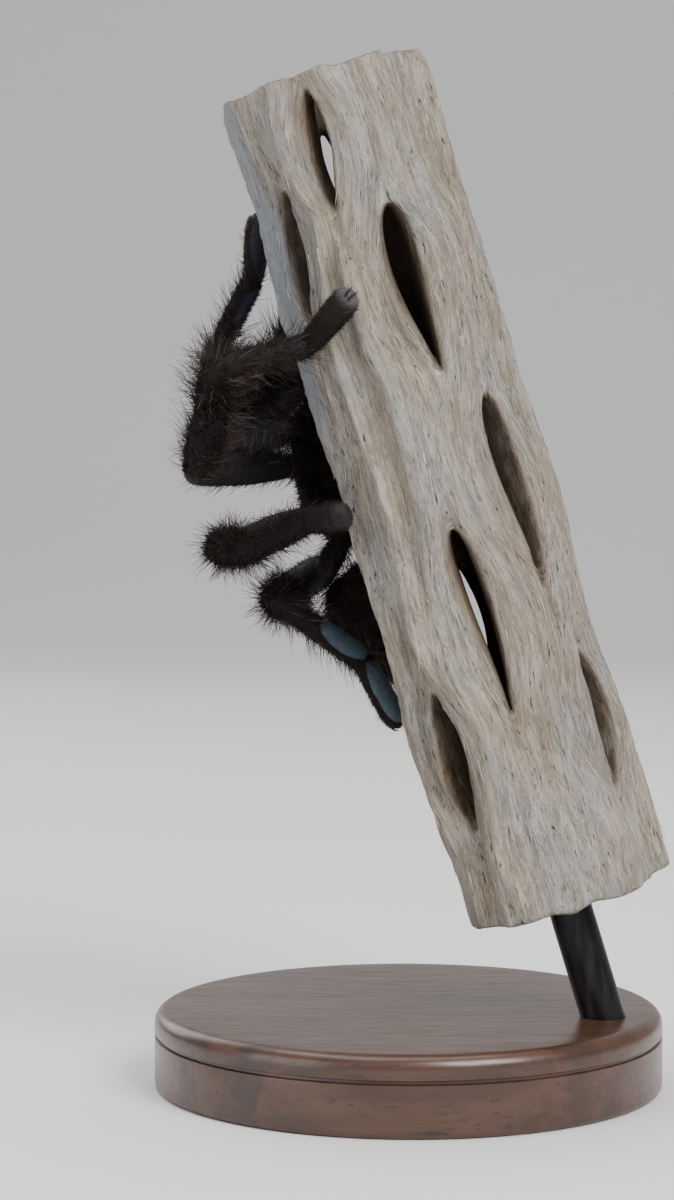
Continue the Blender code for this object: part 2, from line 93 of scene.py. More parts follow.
COXA_GIRTH = {1: (0.95, 1.35), 2: (1.05, 1.5), 3: (1.05, 1.5), 4: (0.95, 1.5), 'palp': (0.85, 1.15)}
POSE = {
    'leg_right_1': [(-86, 42), (51, -6), (-31, -69), (46, -24), (22, 26)],
    'leg_right_2': [(-75, -45), (32, -40), (29, -64), (93, 14), (58, -26)],
    'leg_right_3': [(-97, 46), (-69, -74), (108, -64), (79, -47), (95, -55)],
    'leg_right_4': [(-110, 72), (-121, -77), (-35, -84), (143, 5), (167, 5)],
    'leg_left_1': [(56, 78), (54, -43), (26, -38), (-6, -47), (-5, -16)],
    'leg_left_2': [(68, 55), (26, -52), (-171, -68), (0, -13), (-9, -7)],
    'leg_left_3': [(109, 48), (146, -61), (-38, -81), (178, -13), (-179, -11)],
    'leg_left_4': [(141, 44), (154, -3), (-180, -73), (-180, -33), (-179, -8)],
    'palp_right': [(-116, 52), (43, -46), (32, -41), (33, 0)],
    'palp_left': [(1, 66), (45, -28), (12, -38), (4, -38)],
}
# Depth of the coat over the skin on each limb segment: coxa, femur, patella,
# tibia, metatarsus, tarsus
COAT_DEPTH = (0.15, 0.16, 0.14, 0.14, 0.14, 0.16)
BODY_COAT = 0.40

DOWN = Vector((math.sin(rad(PERCH_TILT)), 0.0, -math.cos(rad(PERCH_TILT))))
UP = -DOWN
SIDE = Vector((math.cos(rad(PERCH_TILT)), 0.0, math.sin(rad(PERCH_TILT))))
BACK = Vector((0.0, 1.0, 0.0))
PERCH_ORIGIN = Vector((3.6, -6.0, 60.0))
DORSAL = BACK * math.cos(rad(ROLL)) - SIDE * math.sin(rad(ROLL))
LEFT = DORSAL.cross(UP)
BODY = PERCH_ORIGIN + DOWN * BODY_ALONG + DORSAL * STANDOFF
nUP, nLEFT, nDORSAL, nBODY = (np.array(v) for v in (UP, LEFT, DORSAL, BODY))
nDOWN, nSIDE, nBACK, nORIGIN = (np.array(v) for v in (DOWN, SIDE, BACK, PERCH_ORIGIN))


def body_point(forward, left, up):
    return BODY + UP * forward + LEFT * left + DORSAL * up


def off_axis(p):
    q = p - PERCH_ORIGIN
    q = q - DOWN * q.dot(DOWN)
    return q.normalized()


def heading(turn, rise):
    t, r = rad(turn), rad(rise)
    return (UP * math.cos(t) + SIDE * math.sin(t)) * math.cos(r) + BACK * math.sin(r)


def blend3(values, t):
    a, b, c = values
    return a * (1 - t) * (1 - 2 * t) + b * 4 * t * (1 - t) + c * t * (2 * t - 1)


def smooth(a, b, x):
    t = np.clip((np.asarray(x, float) - a) / (b - a), 0.0, 1.0)
    return t * t * (3 - 2 * t)


# ------------------------------------------------------------------ noise
LATTICE = rng.random(4096).astype(np.float32)


def hash3(i, j, k):
    return LATTICE[(i * 73 + j * 157 + k * 1009 + (i * j) % 7 * 31) % 4096]


def noise3(x, y, z):
    """Smooth value noise, 0 to 1."""
    i, j, k = np.floor(x).astype(np.int64), np.floor(y).astype(np.int64), np.floor(z).astype(np.int64)
    u, v, w = x - i, y - j, z - k
    u, v, w = (a * a * (3 - 2 * a) for a in (u, v, w))
    out = 0.0
    for di in (0, 1):
        for dj in (0, 1):
            for dk in (0, 1):
                wt = (u if di else 1 - u) * (v if dj else 1 - v) * (w if dk else 1 - w)
                out = out + wt * hash3(i + di, j + dj, k + dk)
    return out


# ------------------------------------------------------------------ meshes
def build_mesh(name, verts, faces, material=None, uv=None, attributes=()):
    """verts in mm, faces an (n, 3) or (n, 4) array."""
    me = bpy.data.meshes.new(name)
    me.vertices.add(len(verts))
    me.vertices.foreach_set("co", (np.asarray(verts, np.float64) * MM).astype(np.float32).ravel())
    k = faces.shape[1]
    me.loops.add(faces.size)
    me.loops.foreach_set("vertex_index", faces.astype(np.int32).ravel())
    me.polygons.add(len(faces))
    me.polygons.foreach_set("loop_start", np.arange(0, faces.size, k, dtype=np.int32))
    me.update(calc_edges=True)
    me.shade_smooth()
    if uv is not None:
        layer = me.uv_layers.new(name="OFBake")
        layer.data.foreach_set("uv", uv.astype(np.float32).ravel())
    for label, kind, values in attributes:
        at = me.attributes.new(label, kind, 'POINT')
        key = {"FLOAT": "value", "FLOAT_VECTOR": "vector", "FLOAT_COLOR": "color"}[kind]
        at.data.foreach_set(key, values.astype(np.float32).ravel())
    if material is not None:
        me.materials.append(material)
    ob = bpy.data.objects.new(name, me)
    bpy.context.scene.collection.objects.link(ob)
    return ob


def surface_net(f, origin, h):
    """Quads over the zero level of a sampled field, negative inside."""
    inside = f < 0
    nx, ny, nz = f.shape
    count = np.zeros((nx - 1, ny - 1, nz - 1), np.int8)
    for dx in (0, 1):
        for dy in (0, 1):
            for dz in (0, 1):
                count += inside[dx:nx - 1 + dx, dy:ny - 1 + dy, dz:nz - 1 + dz]
    active = (count > 0) & (count < 8)
    del count
    cells = np.argwhere(active)
    index = np.full(active.shape, -1, np.int32)
    index[active] = np.arange(len(cells))
    corners = [(a, b, c) for a in (0, 1) for b in (0, 1) for c in (0, 1)]
    values = {c: f[cells[:, 0] + c[0], cells[:, 1] + c[1], cells[:, 2] + c[2]] for c in corners}
    acc = np.zeros((len(cells), 3))
    hits = np.zeros(len(cells))
    for a in corners:
        for axis in range(3):
            if a[axis]:
                continue
            b = tuple(v + (1 if n == axis else 0) for n, v in enumerate(a))
            fa, fb = values[a], values[b]
            cross = (fa < 0) != (fb < 0)
            t = np.where(cross, fa / np.where(cross, fa - fb, 1.0), 0.0)
            p = np.tile(np.array(a, float), (len(cells), 1))
            p[:, axis] += t
            acc += p * cross[:, None]
            hits += cross
    verts = origin + h * (cells + acc / hits[:, None])
    quads = []
    for axis in range(3):
        lo = [slice(1, -1)] * 3
        lo[axis] = slice(0, -1)
        hi = list(lo)
        hi[axis] = slice(1, None)
        a, b = inside[tuple(lo)], inside[tuple(hi)]
        where = np.argwhere(a != b)
        first = a[tuple(where.T)]
        for n in range(3):
            if n != axis:
                where[:, n] += 1
        u, v = [n for n in range(3) if n != axis]
        if axis == 1:
            u, v = v, u
        ring = []
        for du, dv in ((-1, -1), (0, -1), (0, 0), (-1, 0)):
            c = where.copy()
            c[:, u] += du
            c[:, v] += dv
            ring.append(index[c[:, 0], c[:, 1], c[:, 2]])
        q = np.stack(ring, 1)
        q[~first] = q[~first][:, ::-1]
        quads.append(q)
    return verts, np.concatenate(quads)


def relax(verts, quads, rounds, amount=0.5):
    """Move each vertex towards the mean of its neighbours."""
    a = quads.ravel()
    b = np.roll(quads, -1, 1).ravel()
    i = np.concatenate([a, b])
    j = np.concatenate([b, a])
    n = len(verts)
    deg = np.bincount(i, minlength=n)[:, None]
    for _ in range(rounds):
        s = np.stack([np.bincount(i, verts[j, c], n) for c in range(3)], 1)
        verts = verts + amount * (s / np.maximum(deg, 1) - verts)
    return verts


def vertex_normals(verts, quads):
    d1 = verts[quads[:, 2]] - verts[quads[:, 0]]
    d2 = verts[quads[:, 3]] - verts[quads[:, 1]]
    fn = np.cross(d1, d2)
    out = np.zeros_like(verts)
    for k in range(4):
        for c in range(3):
            out[:, c] += np.bincount(quads[:, k], fn[:, c], len(verts))
    return out / np.maximum(np.linalg.norm(out, axis=1, keepdims=True), 1e-12)


def unit(v):
    return v / np.maximum(np.linalg.norm(v, axis=-1, keepdims=True), 1e-12)


# ------------------------------------------------------------------ limbs
# A station is one cross-section of a limb. SEG: 0 coxa, 1 femur, 2 patella,
# 3 tibia, 4 metatarsus, 5 tarsus, 6 toe pads, 7 chelicera, 8 spinneret,
# 9 pedicel, 10 carapace, 11 sternum, 12 abdomen.
class Stations:
    def __init__(self):
        self.rows = []

    def add(self, c, t, up, rw, rh, limb, seg, frac, arc):
        t = t.normalized()
        up = (up - t * up.dot(t)).normalized()
        side = t.cross(up)
        self.rows.append((*c, *t, *up, *side, rw, rh, limb, seg, frac, arc))
        return len(self.rows) - 1


ST = Stations()
TUBES = []          # lists of station numbers, one smooth tube each
LIMB_NAMES = list(POSE) + ["chelicera_right", "chelicera_left", "spinneret_right", "spinneret_left", "pedicel"]
LIMB_ARC = {}       # whole length of each limb
TOES = {}           # limb: (tip, direction, up, side, radius)


def limb_path(points, girth_at, step):
    n = len(points) - 1
    dirs = [(points[i + 1] - points[i]).normalized() for i in range(n)]
    lens = [(points[i + 1] - points[i]).length for i in range(n)]
    trims = [0.0] * (n + 1)
    for i in range(1, n):
        bend = dirs[i - 1].angle(dirs[i])
        trims[i] = min((girth_at(i, 0.0) + 0.3) * math.tan(bend / 2), 0.42 * min(lens[i - 1], lens[i]))
    out = []
    for i in range(n):
        start, stop = trims[i], lens[i] - trims[i + 1]
        count = max(2, int((stop - start) / step) + 1)
        for k in range(count + 1):
            if k == 0 and i > 0:
                continue
            d = start + (stop - start) * k / count
            out.append((points[i] + dirs[i] * d, dirs[i], girth_at(i, d / lens[i]), i, d / lens[i]))
        if i < n - 1:
            u, v = dirs[i], dirs[i + 1]
            bend = u.angle(v)
            if bend < rad(4):
                continue
            inward = (v - u * math.cos(bend)).normalized()
            radius = trims[i + 1] / math.tan(bend / 2)
            centre = points[i + 1] - u * trims[i + 1] + inward * radius
            steps = max(2, round(bend / rad(10)))
            for k in range(1, steps + 1):
                a = bend * k / steps
                p = centre - inward * radius * math.cos(a) + u * radius * math.sin(a)
                t = u * math.cos(a) + inward * math.sin(a)
                g = (girth_at(i, 1.0) * (steps - k) + girth_at(i + 1, 0.0) * k) / steps
                first = k * 2 <= steps
                out.append((p, t, g, i if first else i + 1,
                            1.0 if first else 0.0))
    return out


def neck(t, length, at=(0.0, 1.0), depth=0.10, reach=0.55):
    """The narrowing of a segment at its joints."""
    k = 1.0
    for a in at:
        k -= depth * math.exp(-(((t - a) * length) / reach) ** 2)
    return k


def add_limb(name, key, side, lengths, girth, scale):
    limb = LIMB_NAMES.index(name)
    palp = key == 'palp'
    hip = body_point(HIPS[key][0], HIPS[key][1] * side, HIPS[key][2])
    start = body_point(COXA_START[key][0], COXA_START[key][1] * side, COXA_START[key][2])
    points = [hip]
    for (turn, rise), length in zip(POSE[name], lengths):
        points.append(points[-1] + heading(turn, rise) * length)
    knee = points[1]
    coxa = COXA_GIRTH[key]
    segs = [1, 2, 3, 5] if palp else [1, 2, 3, 4, 5]

    def upper(i, t):
        if i == 0:
            length = (hip - start).length
            return (coxa[0] + (coxa[1] - coxa[0]) * t - COAT_DEPTH[0]) * neck(t, length, (0.62, 1.0), 0.08, 0.4)
        g = blend3(girth[0], t) * scale * (0.88 + 0.12 * min(1.0, t * 2.5))
        return (g - COAT_DEPTH[1]) * neck(t, lengths[0], (0.0, 1.0), 0.07)

    arc, prev, tube = 0.0, None, []
    for p, t, g, i, f in limb_path([start, hip, knee], upper, 0.4):
        arc += 0.0 if prev is None else (p - prev).length
        prev = p
        tall = 1.12 if i == 0 else 1.0
        tube.append(ST.add(p, t, DORSAL, g, g * tall, limb, 0 if i == 0 else 1, f, arc))
    TUBES.append(tube)

    last = len(lengths) - 2

    def lower(i, t):
        g = blend3(girth[i + 1], min(1.0, t)) * scale
        if i == last:
            g *= 1.0 - 0.12 * max(0.0, t - 0.85) / 0.15
        seg = segs[i + 1]
        g -= COAT_DEPTH[seg]
        return g * neck(t, lengths[i + 1], (0.0, 1.0) if i < last else (0.0,), 0.08, 0.5)

    tube = []
    path = limb_path(points[1:], lower, 0.4)
    # the main tube stops short of the tip, where the toe pads begin
    tip, tip_t = path[-1][0], path[-1][1]
    g_tip = girth[-1][2] * scale * 0.88
    for p, t, g, i, f in path:
        arc += (p - prev).length
        prev = p
        if i == last and (tip - p).dot(tip_t) < g_tip * 0.95:
            continue
        seg = segs[i + 1]
        up = off_axis(p) if i >= last - 1 else off_axis(p)
        flat = {4: (1.06, 0.94), 5: (1.16, 0.90)}.get(seg, (1.0, 1.0))
        tube.append(ST.add(p, t, up, g * flat[0], g * flat[1], limb, seg, f, arc))
    TUBES.append(tube)
    LIMB_ARC[limb] = arc
    up = off_axis(tip)
    up = (up - tip_t * up.dot(tip_t)).normalized()
    across = tip_t.cross(up)
    TOES[name] = (tip, tip_t, up, across, g_tip)
    for s in (-1, 1):
        pad = []
        lat = 0.52 * (0.8 if palp else 1.0)
        for d, r in ((2.9, 0.66), (2.1, 0.84), (1.45, 0.94), (1.0, 0.84)):
            c = tip - tip_t * d + across * s * lat * (1.0 if d < 2 else 0.8) - up * 0.05
            r *= g_tip / 1.25
            pad.append(ST.add(c, tip_t, up, r * 0.80, r * 1.05, limb, 6, 1.0, arc - d))
        TUBES.append(pad)


for n in (1, 2, 3, 4):
    for word, side in (("right", -1), ("left", 1)):
        add_limb(f"leg_{word}_{n}", n, side, LEG_LENGTHS[n], LEG_GIRTH, LEG_SCALE[n])
for word, side in (("right", -1), ("left", 1)):
    add_limb(f"palp_{word}", 'palp', side, PALP_LENGTHS, PALP_GIRTH, 1.0)

# chelicerae
CHEL_START = CARAPACE_LENGTH / 2 - 0.3 + GAP
for word, side in (("right", -1), ("left", 1)):
    limb = LIMB_NAMES.index(f"chelicera_{word}")
    tube, n = [], 18
    for k in range(n + 1):
        t = k / n
        g = float(np.interp(t, (0.0, 0.12, 0.35, 0.6, 0.8, 0.93, 1.0), (0.80, 0.88, 1.0, 0.98, 0.86, 0.66, 0.42)))
        g = g * (1.0 - 0.20 / 1.75)
        f = CHEL_START - 1.4 + (CHELICERA_LENGTH + 0.9) * t
        c = body_point(f, side * 1.66, 2.55 - 0.2 * t - 1.5 * t * t - 0.05)
        d = UP - DORSAL * (0.2 + 3.0 * t) / CHELICERA_LENGTH
        tube.append(ST.add(c, d, DORSAL, 1.5 * g, 1.75 * g, limb, 7, t, t * 7.5))
    TUBES.append(tube)
    LIMB_ARC[limb] = 7.5

# pedicel and spinnerets
ABDOMEN_FRONT = -CARAPACE_LENGTH / 2 - 1.1
limb = LIMB_NAMES.index("pedicel")
TUBES.append([ST.add(body_point(f, 0.4 * (f + 8) * 0.3, u), -UP, DORSAL, w, w, limb, 9, 0.5, 0.0)
              for f, u, w in ((-CARAPACE_LENGTH / 2 + 2.2, -0.7, 1.2), (-CARAPACE_LENGTH / 2 - 0.2, -0.6, 0.85),
                              (ABDOMEN_FRONT - 0.2, -0.3, 0.85), (ABDOMEN_FRONT - 2.5, 0.2, 1.1))])
LIMB_ARC[limb] = 6.0
END = ABDOMEN_FRONT - GAP - 0.1 - ABDOMEN_LENGTH * 0.985
for word, side in (("right", -1), ("left", 1)):
    limb = LIMB_NAMES.index(f"spinneret_{word}")
    tube = []
    for k in range(15):
        t = k / 14
        r = float(np.interp(t, (0.0, 0.3, 0.36, 0.66, 0.72, 1.0), (0.62, 0.68, 0.56, 0.6, 0.45, 0.28))) * 0.86
        back = -1.3 + 4.8 * t
        c = body_point(END - GAP - 0.15 - max(back, -1.3), ABDOMEN_SWING[1] + side * (0.95 + 0.7 * t) + 0.9 * t,
                       ABDOMEN_LIFT[1] - 0.9 + 0.9 * t)
        d = -UP * 3.4 + LEFT * (side * 0.7 + 0.9) + DORSAL * 0.9
        if back <= 3.4:
            tube.append(ST.add(c, d, DORSAL, r, r, limb, 8, t, back + 1.3))
    TUBES.append(tube)
    LIMB_ARC[limb] = 5.0

S = np.array(ST.rows)
SC, STAN, SUP, SSIDE = S[:, 0:3], S[:, 3:6], S[:, 6:9], S[:, 9:12]
SRW, SRH, SLIMB, SSEG, SFRAC, SARC = S[:, 12], S[:, 13], S[:, 14].astype(int), S[:, 15].astype(int), S[:, 16], S[:, 17]
ID_CARAPACE, ID_STERNUM, ID_ABDOMEN, ID_CORE = len(S), len(S) + 1, len(S) + 2, len(S) + 3

# ------------------------------------------------------------------ field
VOXEL = 0.285
LOW = np.minimum(SC.min(0), nBODY - 14) - 4.0
tail = np.array(body_point(END - 5, ABDOMEN_SWING[1], 2))
LOW = np.minimum(LOW, tail - 9)
HIGH = np.maximum(SC.max(0), nBODY + 12) + 4.0
SHAPE = tuple(int(v) for v in np.ceil((HIGH - LOW) / VOXEL) + 1)
FIELD = np.full(SHAPE, 4.0, np.float32)
OWNER = np.full(SHAPE, -1, np.int16)


def block(lo, hi):
    a = np.maximum(np.floor((lo - LOW) / VOXEL).astype(int), 0)
    b = np.minimum(np.ceil((hi - LOW) / VOXEL).astype(int) + 1, SHAPE)
    sl = tuple(slice(int(i), int(j)) for i, j in zip(a, b))
    axes = [LOW[n] + VOXEL * np.arange(a[n], b[n]) for n in range(3)]
    return sl, np.stack(np.meshgrid(*axes, indexing='ij'), -1)


def merge(sl, d, owner, k):
    """Smooth union of a block with the field."""
    old = FIELD[sl].copy()
    blend = np.clip(k - np.abs(old - d), 0.0, None)
    FIELD[sl] = np.minimum(old, d) - blend * blend / (4 * k)
    OWNER[sl] = np.where(d < old, owner, OWNER[sl])


def tube_field(tube, k):
    pts = SC[tube]
    rmax = max(SRW[tube].max(), SRH[tube].max()) + 1.3
    sl, _ = block(pts.min(0) - rmax, pts.max(0) + rmax)
    base = np.array([s.start for s in sl])
    shape = tuple(s.stop - s.start for s in sl)
    local = np.full(shape, 4.0, np.float32)
    owner = np.full(shape, -1, np.int16)
    for a, b in zip(tube, tube[1:]):
        pad = max(SRW[a], SRH[a], SRW[b], SRH[b]) + 1.2
        s2, P = block(np.minimum(SC[a], SC[b]) - pad, np.maximum(SC[a], SC[b]) + pad)
        s3 = tuple(slice(s.start - o, s.stop - o) for s, o in zip(s2, base))
        ab = SC[b] - SC[a]
        L2 = ab.dot(ab)
        h = np.clip(((P - SC[a]) @ ab) / L2, 0, 1)
        q = P - SC[a] - h[..., None] * ab
        rw = SRW[a] + (SRW[b] - SRW[a]) * h
        rh = SRH[a] + (SRH[b] - SRH[a]) * h
        x, y, z = q @ SSIDE[a], q @ SUP[a], q @ STAN[a]
        rm = np.sqrt(rw * rh)
        rho = np.sqrt((x / rw) ** 2 + (y / rh) ** 2 + (z / rm) ** 2)
        d = (rho - 1) * rm
        view, own = local[s3], owner[s3]
        near = d < view
        view[near] = d[near]
        own[near] = np.where(h < 0.5, a, b)[near]
    merge(sl, local, owner, k)


def carapace_half_width(t):
    thorax = np.sqrt(np.clip(1 - ((t - 0.42) / 0.44) ** 2, 0, None))
    taper = 1.0 - 0.40 * (np.clip(t - 0.42, 0, None) / 0.58) ** 1.7
    front = np.sqrt(np.clip(1 - (np.clip(t - 0.86, 0, None) / 0.145) ** 2, 0, None))
    return CARAPACE_WIDTH / 2 * np.where(t < 0.42, thorax, taper * front)


def carapace_height(t):
    rise = 3.3 + 1.1 * np.clip((t - 0.42) / 0.3, 0, 1)
    rear = np.sqrt(np.clip(1 - (np.clip(0.34 - t, 0, None) / 0.37) ** 2, 0, None))
    front = np.sqrt(np.clip(1 - (np.clip(t - 0.84, 0, None) / 0.2) ** 2, 0, None))
    return rise * rear * front


def body_coords(P):
    q = P - nBODY
    return q @ nUP, q @ nLEFT, q @ nDORSAL


TUBERCLE_F = CARAPACE_LENGTH / 2 - 1.9
TUBERCLE_TOP = CARAPACE_FLOOR + float(carapace_height(0.5 + TUBERCLE_F / CARAPACE_LENGTH)) + GAP + 0.15


def carapace_field(P):
    f, l, u = body_coords(P)
    t = f / CARAPACE_LENGTH + 0.5
    w = carapace_half_width(t) - 0.30
    hh = carapace_height(t) - 0.30
    # the head is set off from the thorax by a shallow groove each side, and
    # four more grooves fan out from the fovea
    fx, lx = f - (-1.4), np.abs(l)
    ang = np.degrees(np.arctan2(lx, fx))
    reach = np.sqrt(fx ** 2 + lx ** 2)
    cut = np.zeros_like(f)
    for a, depth in ((38, 0.42), (72, 0.26), (103, 0.26), (136, 0.26)):
        off = np.radians(ang - a) * reach
        cut += depth * np.exp(-(off / 0.42) ** 2) * smooth(0.9, 2.2, reach) * (1 - smooth(5.6, 7.4, reach))
    cut += 0.85 * np.exp(-(fx / 0.32) ** 2 - (l / 0.95) ** 2)
    hh = hh - cut
    x = np.abs(l) / np.maximum(w, 0.05)
    y = (u - CARAPACE_FLOOR) / np.maximum(np.where(u > CARAPACE_FLOOR, hh, 0.42), 0.05)
    rho = (x ** 2.3 + np.abs(y) ** 2.3) ** (1 / 2.3)
    d = (rho - 1) * np.minimum(np.maximum(hh, 0.3), 2.4)
    d = np.maximum(d, np.maximum(t - 1.0, 0.0 - t) * CARAPACE_LENGTH + 0.2)
    # ocular tubercle
    q = np.sqrt(((f - TUBERCLE_F) / 0.95) ** 2 + (l / 1.0) ** 2 + ((u - TUBERCLE_TOP + 0.65) / 0.95) ** 2)
    dt = (q - 1) * 0.9
    blend = np.clip(0.4 - np.abs(d - dt), 0, None)
    return np.minimum(d, dt) - blend ** 2 / 1.6


def sternum_field(P):
    f, l, u = body_coords(P)
    w = np.interp(f, (-4.7, -4.1, -2.8, -1.0, 1.0, 2.6, 3.6, 4.9, 5.2), (0.3, 1.7, 2.55, 2.9, 2.9, 2.35, 1.5, 0.75, 0.3))
    w = w + 0.3
    rho = np.sqrt((l / w) ** 2 + ((u + 1.75) / 0.95) ** 2)
    d = (rho - 1) * 0.9
    return np.maximum(d, np.abs(f) - 5.0)


def abdomen_section(t):
    g = np.sin(np.pi * np.clip(0.06 + 0.91 * t, 0.0001, 0.9999) ** 0.84) ** 0.6
    u = ABDOMEN_LIFT[0] * (1 - t) + ABDOMEN_LIFT[1] * t + 0.8 * np.sin(np.pi * np.clip(t, 0, 1))
    swing = (ABDOMEN_SWING[0] * (1 - t) + ABDOMEN_SWING[1] * t) * np.minimum(1.0, 0.2 + t * 8)
    return g, u, swing


def abdomen_field(P):
    f, l, u = body_coords(P)
    t = (ABDOMEN_FRONT - GAP - 0.1 - f) / ABDOMEN_LENGTH
    tc = np.clip(t, 0.0, 0.985)
    g, uc, lc = abdomen_section(tc)
    depth = 0.75
    w = np.maximum(ABDOMEN_WIDTH / 2 * g - depth, 0.15)
    h = np.maximum(ABDOMEN_HEIGHT / 2 * g - depth, 0.15)
    rho = np.sqrt(((l - lc) / w) ** 2 + ((u - uc) / h) ** 2)
    d = (rho - 1) * np.minimum(np.minimum(w, h), 3.0)
    over = np.maximum(-0.02 - t, t - 0.955) * ABDOMEN_LENGTH
    return np.maximum(d, over + 0.2)


def core_field(P):
    f, l, u = body_coords(P)
    rho = np.sqrt((f / 7.4) ** 2 + (l / 5.0) ** 2 + ((u + 0.5) / 1.7) ** 2)
    return (rho - 1) * 1.7


def stamp(fn, owner, lo, hi, k):
    """Merge a body part that fills this box of (forward, left, up)."""
    c = [np.array(body_point(f, l, u)) for f in (lo[0], hi[0]) for l in (lo[1], hi[1]) for u in (lo[2], hi[2])]
    sl, P = block(np.min(c, 0), np.max(c, 0))
    d = np.minimum(fn(P), 4.0).astype(np.float32)
    merge(sl, d, owner, k)


stamp(core_field, ID_CORE, (-8.5, -6, -3.5), (8.5, 6, 2.5), 0.5)
stamp(sternum_field, ID_STERNUM, (-6, -4.5, -4), (6, 4.5, 0.5), 0.5)
for tube in TUBES:
    pads = SSEG[tube[0]] == 6
    tube_field(tube, 0.12 if pads else 0.45)
stamp(carapace_field, ID_CARAPACE, (-9.5, -8.6, -0.6), (9.5, 8.6, 7.2), 0.25)
stamp(abdomen_field, ID_ABDOMEN, (END - 1.5, -10, -8.5), (ABDOMEN_FRONT + 1.5, 17, 11), 0.5)

skin_v, skin_q = surface_net(FIELD, LOW, VOXEL)
skin_v = relax(skin_v, skin_q, 2, 0.45)
skin_n = vertex_normals(skin_v, skin_q)
print("skin", len(skin_v), "vertices", len(skin_q) * 2, "triangles")


# ------------------------------------------------------------------ shader kit
def srgb(r, g, b):
    return tuple(((c / 255 + 0.055) / 1.055) ** 2.4 if c > 10 else c / 255 / 12.92 for c in (r, g, b))


class Nodes:
    """Short names for the shader nodes used below."""

    def __init__(self, name):
        self.mat = bpy.data.materials.new(name)
        self.mat.use_nodes = True
        self.tree = self.mat.node_tree
        self.bsdf = self.tree.nodes["Principled BSDF"]

    def new(self, kind, **values):
        n = self.tree.nodes.new(kind)
        for k, v in values.items():
            setattr(n, k, v)
        return n

    def link(self, a, b):
        self.tree.links.new(a, b)

    def set(self, **values):
        for k, v in values.items():
            self.bsdf.inputs[k.replace("_", " ")].default_value = v

    def attribute(self, name):
        return self.new("ShaderNodeAttribute", attribute_name=name)

    def scaled(self, vector, scale):
        n = self.new("ShaderNodeVectorMath", operation='MULTIPLY')
        self.link(vector, n.inputs[0])
        n.inputs[1].default_value = scale
        return n.outputs[0]

    def noise(self, vector, scale, detail=3.0, rough=0.55, distortion=0.0):
        n = self.new("ShaderNodeTexNoise")
        n.inputs["Scale"].default_value = scale
        n.inputs["Detail"].default_value = detail
        n.inputs["Roughness"].default_value = rough
        n.inputs["Distortion"].default_value = distortion
        self.link(vector, n.inputs["Vector"])
        return n.outputs["Fac"]

    def ramp(self, value, low, high, out=(0.0, 1.0), kind='SMOOTHSTEP'):
        n = self.new("ShaderNodeMapRange", interpolation_type=kind)
        n.inputs["From Min"].default_value = low
        n.inputs["From Max"].default_value = high
        n.inputs["To Min"].default_value = out[0]
        n.inputs["To Max"].default_value = out[1]
        self.link(value, n.inputs["Value"])
        return n.outputs["Result"]

    def math(self, op, a, b=None, clamp=False):
        n = self.new("ShaderNodeMath", operation=op, use_clamp=clamp)
        for i, v in enumerate((a, b)):
            if v is None:
                continue
            if isinstance(v, (int, float)):
                n.inputs[i].default_value = v
            else:
                self.link(v, n.inputs[i])
        return n.outputs[0]

    def mix(self, fac, a, b, blend='MIX'):
        n = self.new("ShaderNodeMix", data_type='RGBA', blend_type=blend)
        for socket, v in ((n.inputs[0], fac), (n.inputs[6], a), (n.inputs[7], b)):
            if isinstance(v, (int, float)):
                socket.default_value = v
            elif isinstance(v, tuple):
                socket.default_value = (*v, 1.0) if len(v) == 3 else v
            else:
                self.link(v, socket)
        return n.outputs[2]

    def bump(self, height, strength, distance, normal=None):
        n = self.new("ShaderNodeBump")
        n.inputs["Strength"].default_value = strength
        n.inputs["Distance"].default_value = distance
        self.link(height, n.inputs["Height"])
        if normal is not None:
            self.link(normal, n.inputs["Normal"])
        return n.outputs["Normal"]


# The animal's colours. Skin and coat read the same marks: warm, pale and teal areas, and how far along the hair a point
# is. The teal is a painted iridescent sheen on the foot pads, and part of the pale is painted sheen.
BLACK_BROWN = srgb(14, 12, 12)
WARM_BROWN = srgb(40, 28, 24)
PALE_MAUVE = srgb(118, 112, 114)
# painted iridescent sheen of the foot pads: teal to green, violet at the pads' edges
TEAL = srgb(90, 101, 116)
TEAL_GREEN = srgb(78, 99, 108)
VIOLET = srgb(52, 40, 54)
MEMBRANE = srgb(84, 70, 70)
BRONZE = srgb(74, 63, 50)


def body_colour(k):
    """The colour of skin or hair from the marks it carries."""
    marks = k.attribute("marks")
    parts = k.new("ShaderNodeSeparateColor")
    k.link(marks.outputs["Color"], parts.inputs[0])
    pos = k.new("ShaderNodeTexCoord").outputs["Object"]
    patch = k.noise(pos, 900.0, 2.0, 0.6)
    fine = k.noise(pos, 4200.0, 2.0, 0.6)
    dark = k.mix(k.ramp(patch, 0.35, 0.7), BLACK_BROWN, srgb(22, 19, 17))
    warm = k.mix(k.ramp(fine, 0.3, 0.75), WARM_BROWN, srgb(58, 40, 33))
    colour = k.mix(parts.outputs[0], dark, warm)
    pale = k.mix(k.ramp(fine, 0.3, 0.7), PALE_MAUVE, srgb(146, 140, 143))
    colour = k.mix(parts.outputs[1], colour, pale)
    # painted iridescent sheen on the pads under the feet, violet towards each pad's edge
    sea = k.mix(k.ramp(patch, 0.38, 0.62), TEAL, TEAL_GREEN)
    rim = k.ramp(parts.outputs[2], 0.25, 0.6)
    sea = k.mix(rim, VIOLET, sea)
    colour = k.mix(k.ramp(parts.outputs[2], 0.05, 0.45), colour, sea)
    return colour, marks.outputs["Alpha"], patch, fine, pos


def coat_material(name, roughness=0.72, specular=0.16):
    k = Nodes(name)
    colour, along, patch, fine, pos = body_colour(k)
    # hairs are darkest at the root and lighter where they thin out
    shade = k.ramp(along, 0.0, 1.0, (0.6, 1.7), 'LINEAR')
    tone = k.new("ShaderNodeHueSaturation")
    k.link(shade, tone.inputs["Value"])
    k.link(colour, tone.inputs["Color"])
    k.link(tone.outputs[0], k.bsdf.inputs["Base Color"])
    k.set(Roughness=roughness, Specular_IOR_Level=specular)
    return k.mat


